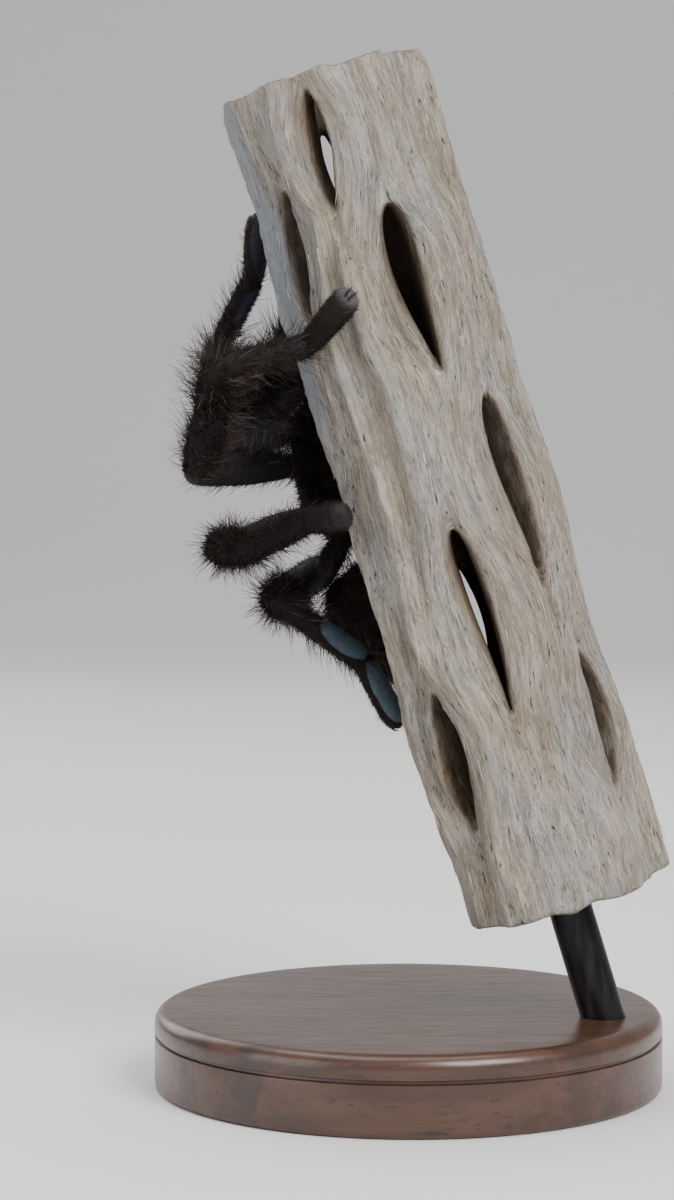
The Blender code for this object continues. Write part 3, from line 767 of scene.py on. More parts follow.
def skin_material():
    k = Nodes("skin_black_brown")
    colour, _, patch, fine, pos = body_colour(k)
    bare = k.attribute("bare").outputs["Fac"]
    fold = k.noise(pos, 1500.0, 3.0, 0.6)
    membrane = k.mix(k.ramp(fold, 0.35, 0.7), MEMBRANE, srgb(84, 66, 62))
    colour = k.mix(bare, colour, membrane)
    k.link(colour, k.bsdf.inputs["Base Color"])
    k.link(k.ramp(patch, 0.3, 0.8, (0.6, 0.8)), k.bsdf.inputs["Roughness"])
    pores = k.new("ShaderNodeTexVoronoi")
    pores.inputs["Scale"].default_value = 5200.0
    k.link(pos, pores.inputs["Vector"])
    height = k.math('ADD', k.ramp(pores.outputs["Distance"], 0.0, 0.4), k.math('MULTIPLY', fold, 0.6))
    k.link(k.bump(height, 0.5, 0.00006), k.bsdf.inputs["Normal"])
    k.set(Specular_IOR_Level=0.2)
    return k.mat


def horn_material(name, colour, roughness, specular=0.6, gloss=0.25):
    k = Nodes(name)
    pos = k.new("ShaderNodeTexCoord").outputs["Object"]
    n = k.noise(pos, 2600.0, 3.0, 0.6)
    k.link(k.mix(k.ramp(n, 0.3, 0.75), colour, tuple(c * 2.2 + 0.004 for c in colour)), k.bsdf.inputs["Base Color"])
    k.link(k.ramp(n, 0.2, 0.8, (roughness, roughness + 0.14)), k.bsdf.inputs["Roughness"])
    k.link(k.bump(n, 0.15, 0.00003), k.bsdf.inputs["Normal"])
    k.set(Specular_IOR_Level=specular, Coat_Weight=gloss, Coat_Roughness=0.12)
    return k.mat


def eye_material():
    k = Nodes("eye_lens")
    pos = k.new("ShaderNodeTexCoord").outputs["Object"]
    n = k.noise(pos, 1800.0, 2.0, 0.5)
    k.link(k.mix(k.ramp(n, 0.35, 0.7), (0.004, 0.003, 0.003), (0.022, 0.012, 0.006)), k.bsdf.inputs["Base Color"])
    k.link(k.ramp(n, 0.2, 0.8, (0.03, 0.07)), k.bsdf.inputs["Roughness"])
    k.set(Specular_IOR_Level=0.7, Coat_Weight=0.8, Coat_Roughness=0.03)
    return k.mat


def wood_material():
    k = Nodes("weathered_cactus_wood")
    grain = k.attribute("grain").outputs["Vector"]
    depth = k.attribute("depth").outputs["Fac"]
    rim = k.attribute("rim").outputs["Fac"]
    cut = k.attribute("cut").outputs["Fac"]
    valley = k.attribute("valley").outputs["Fac"]
    strip = k.attribute("strip").outputs["Fac"]
    broad = k.noise(k.scaled(grain, (0.10, 0.10, 0.04)), 1.0, 2.0, 0.5)
    patch = k.noise(k.scaled(grain, (0.16, 0.16, 0.07)), 1.0, 4.0, 0.6, 0.4)
    blotch = k.noise(k.scaled(grain, (0.9, 0.9, 0.28)), 1.0, 4.0, 0.65, 0.5)
    strand = k.noise(k.scaled(grain, (2.6, 2.6, 0.24)), 1.0, 4.0, 0.65, 0.3)
    fibre = k.noise(k.scaled(grain, (9.0, 9.0, 0.80)), 1.0, 3.0, 0.7, 0.4)
    fuzz = k.noise(k.scaled(grain, (17.0, 17.0, 3.2)), 1.0, 3.0, 0.7)
    dash = k.noise(k.scaled(grain, (4.6, 4.6, 0.62)), 1.0, 2.0, 0.6, 0.5)
    grey = k.mix(k.ramp(blotch, 0.36, 0.64), srgb(166, 163, 157), srgb(194, 190, 184))
    tan = k.mix(k.ramp(blotch, 0.36, 0.64), srgb(167, 157, 141), srgb(200, 190, 173))
    colour = k.mix(k.ramp(patch, 0.36, 0.56), grey, tan)
    colour = k.mix(k.ramp(broad, 0.48, 0.66, (0.0, 0.45)), colour, srgb(204, 200, 194))
    stain = k.noise(k.scaled(grain, (0.26, 0.26, 0.04)), 1.0, 3.0, 0.6, 0.6)
    colour = k.mix(k.ramp(stain, 0.50, 0.68, (0.0, 0.5)), colour, srgb(160, 139, 112))
    colour = k.mix(k.ramp(strand, 0.56, 0.40, (0.0, 0.45)), colour, srgb(108, 98, 86))
    # pale broken fibres and dark dashes between them
    colour = k.mix(k.ramp(fibre, 0.52, 0.70, (0.0, 0.65)), colour, srgb(220, 212, 198))
    colour = k.mix(k.ramp(fuzz, 0.45, 0.32, (0.0, 0.6)), colour, srgb(86, 78, 70))
    colour = k.mix(k.ramp(dash, 0.645, 0.72, (0.0, 0.9)), colour, srgb(54, 46, 40))
    # painted cool light: a blue-grey strip down the shaded side, broken up by the strands
    colour = k.mix(k.math('MULTIPLY', strip, k.ramp(strand, 0.3, 0.6, (0.55, 0.9))), colour, srgb(158, 164, 172))
    # brown in the valleys and at the lips of the eyelets, and painted shade that turns nearly black deep inside
    colour = k.mix(k.math('MULTIPLY', k.ramp(valley, 0.35, 1.0), k.ramp(patch, 0.32, 0.6, (0.10, 0.60))), colour, srgb(112, 94, 74))
    colour = k.mix(k.math('MULTIPLY', k.ramp(rim, 0.25, 0.95), k.ramp(blotch, 0.3, 0.6, (0.25, 0.9))), colour, srgb(96, 76, 56))
    colour = k.mix(k.ramp(depth, 0.16, 0.75, (0.0, 0.85)), colour, srgb(66, 53, 41))
    pith = k.mix(k.ramp(k.noise(k.scaled(grain, (2.0, 2.0, 2.0)), 1.0, 4.0, 0.7), 0.35, 0.65), srgb(112, 98, 80), srgb(168, 154, 130))
    colour = k.mix(cut, colour, pith)
    k.link(colour, k.bsdf.inputs["Base Color"])
    k.link(k.ramp(fibre, 0.3, 0.7, (0.96, 0.82)), k.bsdf.inputs["Roughness"])
    height = k.math('ADD', k.math('MULTIPLY', strand, 1.1), k.math('MULTIPLY', fibre, 0.9))
    height = k.math('ADD', height, k.math('MULTIPLY', fuzz, 0.4))
    height = k.math('SUBTRACT', height, k.ramp(dash, 0.62, 0.74, (0.0, 0.8)))
    k.link(k.bump(height, 1.0, 0.00048), k.bsdf.inputs["Normal"])
    k.set(Specular_IOR_Level=0.12)
    return k.mat


def base_material():
    k = Nodes("dark_turned_wood")
    pos = k.new("ShaderNodeTexCoord").outputs["Object"]
    bend = k.noise(k.scaled(pos, (9.0, 70.0, 70.0)), 1.0, 2.0, 0.5)
    streak = k.noise(k.scaled(pos, (14.0, 420.0, 420.0)), 1.0, 4.0, 0.6, 0.3)
    fine = k.noise(k.scaled(pos, (160.0, 2600.0, 2600.0)), 1.0, 3.0, 0.6)
    colour = k.mix(k.ramp(streak, 0.36, 0.66), srgb(48, 30, 21), srgb(74, 47, 33))
    colour = k.mix(k.ramp(bend, 0.4, 0.7, (0.0, 0.3)), colour, srgb(84, 54, 38))
    colour = k.mix(k.ramp(fine, 0.42, 0.3, (0.0, 0.7)), colour, srgb(26, 15, 10))
    k.link(colour, k.bsdf.inputs["Base Color"])
    k.link(k.ramp(fine, 0.3, 0.7, (0.42, 0.3)), k.bsdf.inputs["Roughness"])
    k.link(k.bump(fine, 0.12, 0.00008), k.bsdf.inputs["Normal"])
    k.set(Coat_Weight=0.3, Coat_Roughness=0.22)
    return k.mat


def metal_material():
    k = Nodes("blackened_steel")
    pos = k.new("ShaderNodeTexCoord").outputs["Object"]
    n = k.noise(k.scaled(pos, (900.0, 900.0, 90.0)), 1.0, 3.0, 0.6)
    k.link(k.mix(k.ramp(n, 0.3, 0.7), srgb(30, 30, 31), srgb(52, 51, 50)), k.bsdf.inputs["Base Color"])
    k.link(k.ramp(n, 0.3, 0.7, (0.3, 0.44)), k.bsdf.inputs["Roughness"])
    k.link(k.bump(n, 0.1, 0.00005), k.bsdf.inputs["Normal"])
    k.set(Metallic=0.85)
    return k.mat


# ------------------------------------------------------------------ marks
def describe(P, N):
    """What part of the animal each point lies on."""
    cell = np.clip(np.rint((P - LOW) / VOXEL).astype(int), 0, np.array(SHAPE) - 1)
    own = OWNER[cell[:, 0], cell[:, 1], cell[:, 2]].astype(int)
    own[own < 0] = ID_CORE
    tube = own < len(S)
    i = np.where(tube, own, 0)
    seg = np.where(tube, SSEG[i], np.select([own == ID_CARAPACE, own == ID_STERNUM, own == ID_ABDOMEN], [10, 11, 12], 11))
    limb = np.where(tube, SLIMB[i], -1)
    arc = SARC[i] + np.einsum('ij,ij->i', P - SC[i], STAN[i])
    lie = STAN[i].copy()
    up, side = SUP[i], SSIDE[i]
    q = P - nBODY
    f, l, u = q @ nUP, q @ nLEFT, q @ nDORSAL
    cara = seg == 10
    away = (f + 1.4)[:, None] * nUP + l[:, None] * nLEFT
    away = unit(away) + 0.35 * smooth(2.0, 6.0, f)[:, None] * nUP
    lie[cara] = away[cara]
    abd = seg == 12
    swing = nLEFT * (ABDOMEN_SWING[1] - ABDOMEN_SWING[0]) / ABDOMEN_LENGTH
    rear = unit(-nUP + swing)[None, :] + 0.25 * N - 0.15 * nDORSAL
    lie[abd] = rear[abd]
    ste = seg == 11
    lie[ste] = (-nUP + 0.3 * l[:, None] * nLEFT)[ste]
    lie = unit(lie - N * np.einsum('ij,ij->i', lie, N)[:, None])
    back = np.where(tube, np.einsum('ij,ij->i', N, up), N @ nDORSAL)
    flank = np.where(tube, np.einsum('ij,ij->i', N, side), N @ nLEFT)
    return dict(own=own, seg=seg, limb=limb, arc=arc, lie=lie, back=back, flank=flank, f=f, l=l, u=u,
                tube=tube, i=i)


SEG_START = {}      # (limb, seg): first and last arc
for n in range(len(S)):
    if SSEG[n] <= 5:
        key = (SLIMB[n], SSEG[n])
        a, b = SEG_START.get(key, (1e9, -1e9))
        SEG_START[key] = (min(a, SARC[n]), max(b, SARC[n]))
NLIMB = len(LIMB_NAMES)
SEG_LO = np.zeros((NLIMB, 13))
SEG_HI = np.ones((NLIMB, 13))
for (limb, seg), (a, b) in SEG_START.items():
    SEG_LO[limb, seg], SEG_HI[limb, seg] = a, b
LIMB_END = np.array([LIMB_ARC.get(n, 1.0) for n in range(NLIMB)])


def marks_of(d, P):
    """Warm, pale, teal and bare, from 0 to 1, for each described point."""
    seg, limb, arc = d['seg'], d['limb'], d['arc']
    lim = np.maximum(limb, 0)
    lo, hi = SEG_LO[lim, np.minimum(seg, 5)], SEG_HI[lim, np.minimum(seg, 5)]
    frac = np.clip((arc - lo) / np.maximum(hi - lo, 0.1), 0, 1)
    blotch = noise3(P[:, 0] * 0.8, P[:, 1] * 0.8, P[:, 2] * 0.8)
    grit = noise3(P[:, 0] * 3.1, P[:, 1] * 3.1, P[:, 2] * 3.1)
    leg = (limb >= 0) & (limb < 10)
    warm = np.select([seg == 12, seg == 10, seg == 2, seg == 3, seg == 7, seg == 1],
                     [0.42, 0.25, 0.30, 0.34, 0.26, 0.12], 0.2) * (0.55 + 0.9 * blotch)
    to_tip = LIMB_END[lim] - arc
    pale = np.zeros(len(P))
    toe = leg & (seg >= 5) & (seg <= 6)
    tip_tone = np.where(limb == LIMB_NAMES.index('leg_right_2'), 0.41, 0.09)
    # pale pink toe tips, and a painted sheen on the upper faces of the tarsi
    pale[toe] = (tip_tone * (1 - smooth(0.25, 1.6, to_tip)) * (0.75 + 0.5 * grit) + 0.03 * smooth(0.2, 0.9, d['back']) * smooth(0.3, 0.9, frac))[toe]
    meta = leg & (seg == 4)
    pale[meta] = 0.05 * grit[meta]
    # painted sheen: the femora are painted a little paler grey, varying at random
    pale[seg == 1] = 0.035 + 0.045 * grit[seg == 1]
    shin = leg & ((seg == 2) | (seg == 3))
    pale[shin] = 0.05 * grit[shin]
    # the carapace is painted with a faint sheen, paler all over, with darker furrows running out from the fovea
    spoke = np.cos(np.arctan2(d['l'], d['f'] + 1.4) * 9.0) * smooth(1.0, 3.0, np.hypot(d['l'], d['f'] + 1.4))
    pale[seg == 10] = (0.07 + 0.06 * grit - 0.055 * smooth(0.35, 0.95, spoke))[seg == 10]
    # painted iridescent sheen: teal ovals on the undersides of the tarsi and metatarsi, strongest on the hind legs
    teal = np.zeros(len(P))
    under = smooth(0.05, 0.62, -d['back'])
    pads = (leg & ((seg == 5) | (seg == 6)))
    strength = np.where((limb == LIMB_NAMES.index('leg_right_4')) | (limb == LIMB_NAMES.index('leg_left_4')), 1.0, 0.35)
    def oval(f):
        e = np.clip(np.abs(2 * f - 1), 0, 1) ** 2.2
        return smooth(0.02 + 0.72 * e, 0.50 + 0.46 * e, -d['back'])

    teal[pads] = (oval((LIMB_END[lim] - arc) / np.maximum(LIMB_END[lim] - lo, 0.1)) * strength)[pads]
    teal[meta] = (oval((frac - 0.42) / 0.57) * smooth(0.40, 0.48, frac) * (1 - smooth(0.975, 1.0, frac)) * strength)[meta]
    # soft joints: where the trochanter meets the femur, and at the far end of the tibia
    hip = np.where(leg, arc - SEG_LO[lim, 1], 9.0)
    bare = np.exp(-((hip - 0.15) / 0.42) ** 2) * np.where(limb == LIMB_NAMES.index('leg_right_2'), 1.0, 0.45)
    shin = np.where(leg & (limb < 8), arc - SEG_LO[lim, 4], 9.0)
    bare = np.maximum(bare, 0.12 * np.exp(-(shin / 0.35) ** 2))
    bare = bare * leg
    return warm, np.clip(pale, 0, 1), np.clip(teal, 0, 1), bare, frac, to_tip


# ------------------------------------------------------------------ the skin
info = describe(skin_v, skin_n)
warm, pale, teal, bare, _, _ = marks_of(info, skin_v)
marks = np.stack([warm * 0.8, pale * 0.7, teal, np.full(len(warm), 0.5)], 1)
SKIN = skin_material()
skin = build_mesh("spider_skin", skin_v, skin_q, SKIN,
                  attributes=[("marks", "FLOAT_COLOR", marks), ("bare", "FLOAT", bare)])
FLESH = ["abdomen", "carapace", "sternum", "chelicera_left", "chelicera_right", "palp_left", "palp_right",
         "spinneret_left", "spinneret_right"] + [f"leg_{s}_{n}" for s in ("left", "right") for n in (1, 2, 3, 4)]
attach(skin, "root")
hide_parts(*FLESH)

# ------------------------------------------------------------------ the coat
tri = np.concatenate([skin_q[:, (0, 1, 2)], skin_q[:, (0, 2, 3)]])
tri_area = 0.5 * np.linalg.norm(np.cross(skin_v[tri[:, 1]] - skin_v[tri[:, 0]], skin_v[tri[:, 2]] - skin_v[tri[:, 0]]), axis=1)
print("skin area", round(float(tri_area.sum())), "mm2")


def sample(per_mm2):
    """Random roots on the skin: places and normals."""
    count = int(per_mm2 * tri_area.sum())
    cum = np.cumsum(tri_area)
    pick = np.searchsorted(cum, (np.arange(count) + rng.random(count)) * cum[-1] / count)
    pick = np.clip(pick, 0, len(tri) - 1)
    a, b = rng.random(count), rng.random(count)
    flip = a + b > 1
    a[flip], b[flip] = 1 - a[flip], 1 - b[flip]
    t = tri[pick]
    w = np.stack([1 - a - b, a, b], 1)[..., None]
    return (skin_v[t] * w).sum(1), unit((skin_n[t] * w).sum(1))


def tuft_template(rings):
    faces, uvs = [], []
    last = 3 * rings
    for k in range(rings - 1):
        for j in range(3):
            n = (j + 1) % 3
            a, b, c, e = 3 * k + j, 3 * k + n, 3 * k + 3 + n, 3 * k + 3 + j
            ua, ub = (k / rings, j / 3), (k / rings, (j + 1) / 3)
            uc, ue = ((k + 1) / rings, (j + 1) / 3), ((k + 1) / rings, j / 3)
            faces += [(a, b, c), (a, c, e)]
            uvs += [(ua, ub, uc), (ua, uc, ue)]
    k = rings - 1
    for j in range(3):
        n = (j + 1) % 3
        faces.append((3 * k + j, 3 * k + n, last))
        uvs.append(((k / rings, j / 3), (k / rings, (j + 1) / 3), (1.0, (j + 0.5) / 3)))
    faces.append((2, 1, 0))
    uvs.append(((0.12, 0.9), (0.0, 0.6), (0.12, 0.2)))
    return np.array(faces), np.array(uvs)


TEMPLATES = {n: tuft_template(n) for n in (1, 2, 3, 4)}
UV_PATCH = 0.003


def tufts(P, N, D, length, lift, droop, width, rings, marks, uv, sink=0.08):
    """Curved, tapering solid tufts: verts, faces, uvs and marks."""
    n = len(P)
    a0, a1 = lift[:, None], (lift - droop)[:, None]
    d0 = np.cos(a0) * D + np.sin(a0) * N
    d1 = np.cos(a1) * D + np.sin(a1) * N
    spin = rng.random(n)[:, None] * TAU
    e = unit(np.cross(d0, N + 0.01))
    g = np.cross(d0, e)
    e, g = e * np.cos(spin) + g * np.sin(spin), g * np.cos(spin) - e * np.sin(spin)
    verts = np.empty((n, 3 * rings + 1, 3))
    m = np.empty((n, 3 * rings + 1, 4))
    m[:, :, :3] = marks[:, None, :]
    root = P - sink * N
    L = length[:, None]
    for k in range(rings + 1):
        s = k / rings
        c = root + L * (s * d0 + 0.5 * s * s * (d1 - d0))
        if k == rings:
            verts[:, -1] = c
            m[:, -1, 3] = 1.0
            break
        r = (width / 2 * (1 - 0.55 * s ** 1.4))[:, None]
        for j in range(3):
            a = TAU * j / 3
            verts[:, 3 * k + j] = c + (e * math.cos(a) + g * math.sin(a)) * r
        m[:, 3 * k:3 * k + 3, 3] = s
    faces, uvs = TEMPLATES[rings]
    F = (faces[None] + (np.arange(n) * (3 * rings + 1))[:, None, None]).reshape(-1, 3)
    UV = (uv[:, None, None, :] + (uvs[None] - 0.5) * UV_PATCH).reshape(-1, 2)
    return verts.reshape(-1, 3), F, UV, m.reshape(-1, 4)


def join_parts(parts):
    V, F, U, M, base = [], [], [], [], 0
    for v, f, u, m in parts:
        V.append(v)
        F.append(f + base)
        U.append(u)
        M.append(m)
        base += len(v)
    return np.concatenate(V), np.concatenate(F), np.concatenate(U), np.concatenate(M)


DENSE = 1.0
CHARTS = {LIMB_NAMES.index("chelicera_left"): (0.5, 0.52), LIMB_NAMES.index("chelicera_right"): (0.5, 0.76),
          LIMB_NAMES.index("pedicel"): (0.01, 0.76), LIMB_NAMES.index("spinneret_left"): (0.18, 0.76),
          LIMB_NAMES.index("spinneret_right"): (0.34, 0.76)}


def charts(d):
    """Where each root lies on the unwrap: limbs by distance along and angle round, body parts the same."""
    angle = np.arctan2(d['flank'], d['back']) / TAU + 0.5
    along = np.clip(d['arc'] / LIMB_END[np.maximum(d['limb'], 0)], 0, 1)
    uv = np.stack([0.01 + 0.98 * along, 0.01 + 0.98 * angle], 1)
    m = d['seg'] == 10
    uv[m] = np.stack([0.01 + 0.98 * np.clip(d['f'] / CARAPACE_LENGTH + 0.5, 0, 1),
                      0.01 + 0.48 * np.clip(d['l'] / CARAPACE_WIDTH + 0.5, 0, 1)], 1)[m]
    m = d['seg'] == 11
    uv[m] = np.stack([0.01 + 0.44 * np.clip((d['f'] + 8) / 16, 0, 1), 0.52 + 0.22 * np.clip((d['l'] + 5) / 10, 0, 1)], 1)[m]
    m = d['seg'] == 12
    uv[m] = np.stack([0.01 + 0.98 * np.clip((ABDOMEN_FRONT - d['f']) / ABDOMEN_LENGTH, 0, 1), 0.01 + 0.98 * angle], 1)[m]
    for s, (x0, y0) in CHARTS.items():
        m = d['limb'] == s
        wide = 0.48 if x0 == 0.5 else 0.13
        uv[m] = np.stack([x0 + wide * along, y0 + 0.22 * angle], 1)[m]
    return uv


# Three layers by segment, each with length, lift in degrees, width and number
# per mm2: a short plush, finer hairs standing out of it, and long bristles
PLUSH = {0: (0.50, 22, 0.105, 16), 1: (0.40, 17, 0.095, 28), 2: (0.58, 32, 0.095, 28), 3: (0.62, 36, 0.095, 28),
         4: (0.56, 36, 0.090, 28), 5: (0.42, 40, 0.085, 32), 6: (0.30, 62, 0.078, 44), 7: (0.60, 24, 0.100, 20),
         8: (0.40, 24, 0.080, 20), 9: (0.50, 30, 0.100, 12), 10: (0.46, 13, 0.090, 26), 11: (0.55, 24, 0.105, 15),
         12: (0.80, 28, 0.110, 18)}
HAIRS = {0: (1.6, 50, 0.050, 6.0), 1: (0.95, 34, 0.044, 7.0), 2: (1.55, 48, 0.045, 9.5), 3: (1.75, 50, 0.045, 10.5),
         4: (1.55, 52, 0.044, 10.5), 5: (0.80, 50, 0.042, 8.0), 6: (0.4, 60, 0.040, 0.0), 7: (1.2, 36, 0.050, 5.0),
         8: (0.8, 36, 0.045, 5.0), 9: (1.0, 40, 0.050, 3.0), 10: (0.80, 24, 0.048, 2.5), 11: (1.1, 38, 0.050, 3.0),
         12: (1.9, 42, 0.056, 7.0)}
BRISTLES = {0: (2.2, 54, 0.055, 2.0), 1: (1.9, 50, 0.055, 0.9), 2: (3.0, 56, 0.056, 2.8), 3: (3.4, 58, 0.056, 3.6),
            4: (3.1, 60, 0.054, 3.4), 5: (1.25, 54, 0.050, 1.0), 6: (0.8, 40, 0.045, 0.0), 7: (1.7, 40, 0.055, 1.0),
            8: (1.0, 40, 0.050, 0.8), 9: (1.3, 42, 0.055, 0.3), 10: (1.3, 44, 0.055, 0.3), 11: (1.5, 42, 0.055, 0.7),
            12: (3.0, 50, 0.062, 2.6)}
FRONT_LEGS = [LIMB_NAMES.index(f"leg_right_{n}") for n in (1, 2, 3, 4)]
TOP_RATE = {0: 50.0, 1: 20.0, 2: 9.0}


def layer(kind, spread):
    """One layer of the coat: everything tufts() needs, for every root that is kept."""
    P, N = sample(TOP_RATE[kind] * DENSE)
    d = describe(P, N)
    warm, pale, teal, bare, frac, to_tip = marks_of(d, P)
    n = len(P)
    table = np.array([(PLUSH, HAIRS, BRISTLES)[kind][k] for k in range(13)])
    length, lift, width, number = (table[d['seg'], c] for c in range(4))
    scopula = smooth(0.06, 0.3, teal / np.maximum(1e-6, np.where(np.isin(d['limb'], (3, 7)), 1.0, 0.5)))
    if kind == 0:
        length = length * (1 - 0.25 * scopula)
        lift = lift + (72 - lift) * scopula
        number = number + (46 - number) * scopula
        fringe = (d['seg'] == 10) & (d['u'] < CARAPACE_FLOOR + 0.9)
        length = np.where(fringe, 1.0, length)
        lift = np.where(fringe, 30, lift)
    else:
        number = number * (1 - 0.95 * scopula)
        if kind == 2:
            # flanks and undersides of the shins carry more than the backs
            number = number * (0.7 + 0.6 * smooth(-0.2, 0.9, np.abs(d['flank']) - 0.4 * d['back']))
        # hairs thin out and shorten before the toes
        ends = np.isin(d['seg'], (5, 6)) & (d['limb'] < 10)
        number = np.where(ends, number * smooth(0.9, 2.4, to_tip), number)
    if kind:
        deep = (d['limb'] == LIMB_NAMES.index('palp_right')) | ((d['limb'] == LIMB_NAMES.index('leg_right_1')) & np.isin(d['seg'], (0, 1)))
        number = np.where(deep, number * (2.5 if kind == 1 else 3.6), number)
        length = np.where(deep, length * 1.35, length)
        crown = (d['limb'] == LIMB_NAMES.index('leg_right_2')) & (d['seg'] == 1) & (frac < 0.62) & (N @ nUP > -0.1)
        number = np.where(crown, number * 4.5, number)
        length = np.where(crown, length * 1.9, length)
        lift = np.where(crown, lift * 2.1, lift)
        if kind == 2:
            length = np.where(np.isin(d['limb'], (0, 1, 4, 5)) & np.isin(d['seg'], (2, 3)), length * 1.22, length)
    number = number * (1 - 0.8 * bare)
    number = np.where(np.isin(d['limb'], FRONT_LEGS) & (scopula < 0.3), number * 1.2, number)
    keep = rng.random(n) < number / TOP_RATE[kind]
    clump = noise3(P[:, 0] * 2.2, P[:, 1] * 2.2, P[:, 2] * 2.2)
    # the lie wanders a little from tuft to tuft, and together in clumps
    side = np.cross(N, d['lie'])
    wander = rng.normal(0, spread, n) + (clump - 0.5) * 0.5
    lie = unit(d['lie'] * np.cos(wander)[:, None] + side * np.sin(wander)[:, None])
    length = length * ((0.72 + 0.55 * rng.random(n)) if kind == 0 else (0.5 + 0.75 * rng.random(n) ** 1.2))
    lift = np.radians(lift * (0.65 + 0.7 * rng.random(n)))
    width = width * (0.8 + 0.4 * rng.random(n))
    dice = rng.random(n)
    if kind == 0:
        marks = np.stack([warm, pale, teal], 1)
    elif kind == 1:
        marks = np.stack([np.clip(warm * 1.5 + 0.15 * (dice > 0.5), 0, 1), np.clip(pale + 0.10 * (dice < 0.15), 0, 1), teal * 0.3], 1)
    else:
        marks = np.stack([np.clip(warm * 1.6 + 0.25 * (dice > 0.6), 0, 1), np.clip(pale + 0.34 * (dice < 0.16), 0, 1), teal * 0.3], 1)
    keep &= number > 0
    return dict(P=P[keep], N=N[keep], lie=lie[keep], length=length[keep], lift=lift[keep], width=width[keep],
                marks=marks[keep], uv=charts(d)[keep], seg=d['seg'][keep], limb=d['limb'][keep])


COAT_FINE = coat_material("coat_black_brown")
LAYERS = [(layer(0, 0.20), 1, 0.0), (layer(1, 0.30), 2, 0.45), (layer(2, 0.30), 3, 0.45)]
# hair of the far legs is pressed down where it would pass the wood's outline
for d, _, _ in LAYERS[1:]:
    reach = d['lie'] * np.cos(d['lift'])[:, None] + d['N'] * np.sin(d['lift'])[:, None]
    out0 = (d['P'] - nORIGIN) @ nSIDE
    out1 = out0 + d['length'] * (reach @ nSIDE)
    over = (out1 > 10.0) & (out1 > out0)
    d['length'] = np.where(over, d['length'] * np.clip((10.0 - out0) / np.maximum(out1 - out0, 1e-3), 0.3, 1.0), d['length'])
whole = 0
for name in list(POSE) + ["prosoma", "abdomen"]:
    parts = []
    for d, rings, droop in LAYERS:
        if name in POSE:
            sel = d['limb'] == LIMB_NAMES.index(name)
        elif name == "abdomen":
            sel = d['seg'] == 12
        else:
            sel = (d['limb'] >= 10) | (d['seg'] == 10) | (d['seg'] == 11)
        if sel.any():
            parts.append(tufts(d['P'][sel], d['N'][sel], d['lie'][sel], d['length'][sel], d['lift'][sel], d['lift'][sel] * droop,
                               d['width'][sel], rings, d['marks'][sel], d['uv'][sel]))
    V, F, U, M = join_parts(parts)
    ob = build_mesh("coat_" + name, V, F, COAT_FINE, uv=np.clip(U, 0.001, 0.999), attributes=[("marks", "FLOAT_COLOR", M)])
    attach(ob, "root")
    whole += len(F)
    print("coat", name, len(F))
print("coat triangles", whole)

# ------------------------------------------------------------------ claws, fangs and eyes
def horn_tube(points, radii, sides=10):
    """A closed tapering tube through points."""
    V, F = [], []
    ref = None
    for i, p in enumerate(points):
        t = (points[min(i + 1, len(points) - 1)] - points[max(i - 1, 0)]).normalized()
        ref = t.orthogonal().normalized() if ref is None else (ref - t * ref.dot(t)).normalized()
        other = t.cross(ref)
        V += [p + (ref * math.cos(TAU * j / sides) + other * math.sin(TAU * j / sides)) * radii[i] for j in range(sides)]
    for i in range(len(points) - 1):
        for j in range(sides):
            a, b = i * sides + j, i * sides + (j + 1) % sides
            F += [(a, b, b + sides), (a, b + sides, a + sides)]
    V += [points[0], points[-1]]
    n = len(V)
    for j in range(sides):
        F.append((n - 2, (j + 1) % sides, j))
        k = (len(points) - 1) * sides
        F.append((n - 1, k + j, k + (j + 1) % sides))
    return np.array([tuple(v) for v in V]), np.array(F)


def merge_solids(parts):
    V, F, base = [], [], 0
    for v, f in parts:
        V.append(v)
        F.append(f + base)
        base += len(v)
    return np.concatenate(V), np.concatenate(F)


HORN = horn_material("fang_horn", (0.010, 0.006, 0.005), 0.14)
CLAW = horn_material("claw_horn", (0.008, 0.006, 0.006), 0.42, 0.25, 0.0)
for name, (tip, t, up, across, g) in TOES.items():
    parts = []
    palp = name.startswith("palp")
    for s in ((0,) if palp else (-1, 1)):
        pts, rad_ = [], []
        for k in range(9):
            a = k / 8
            bend = rad(10 + 95 * a)
            start = tip - t * 0.95 + up * 0.62 * g / 1.18 + across * s * 0.20
            reach = 1.10
            p = start + t * (reach * math.sin(rad(88) * a) * 1.25) + up * (0.34 * math.sin(math.pi * a * 0.9) - 0.62 * a * a) + across * s * 0.16 * a
            pts.append(p)
            rad_.append(0.165 * (1 - a) ** 0.75 + 0.02)
        parts.append(horn_tube(pts, rad_, 8))
    V, F = merge_solids(parts)
    ob = build_mesh("claws_" + name, V, F, CLAW)
    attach(ob, "root")

for word, side in (("right", -1), ("left", 1)):
    pts, radii = [], []
    reach = FANG_LENGTH / 1.75
    for k in range(25):
        t = k / 24
        a = rad(-35 + 100 * t)
        pts.append(body_point(CHEL_START + CHELICERA_LENGTH - reach * (1 + math.sin(a)),
                              side * (1.72 - 0.5 * t), -0.35 - 0.9 * math.cos(a) * 1.25))
        radii.append(0.62 - 0.56 * t ** 1.15)
    V, F = horn_tube(pts, radii, 20)
    ob = build_mesh("fang_curved_" + word, V, F, HORN)
    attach(ob, "root")
    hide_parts("fang_" + word)

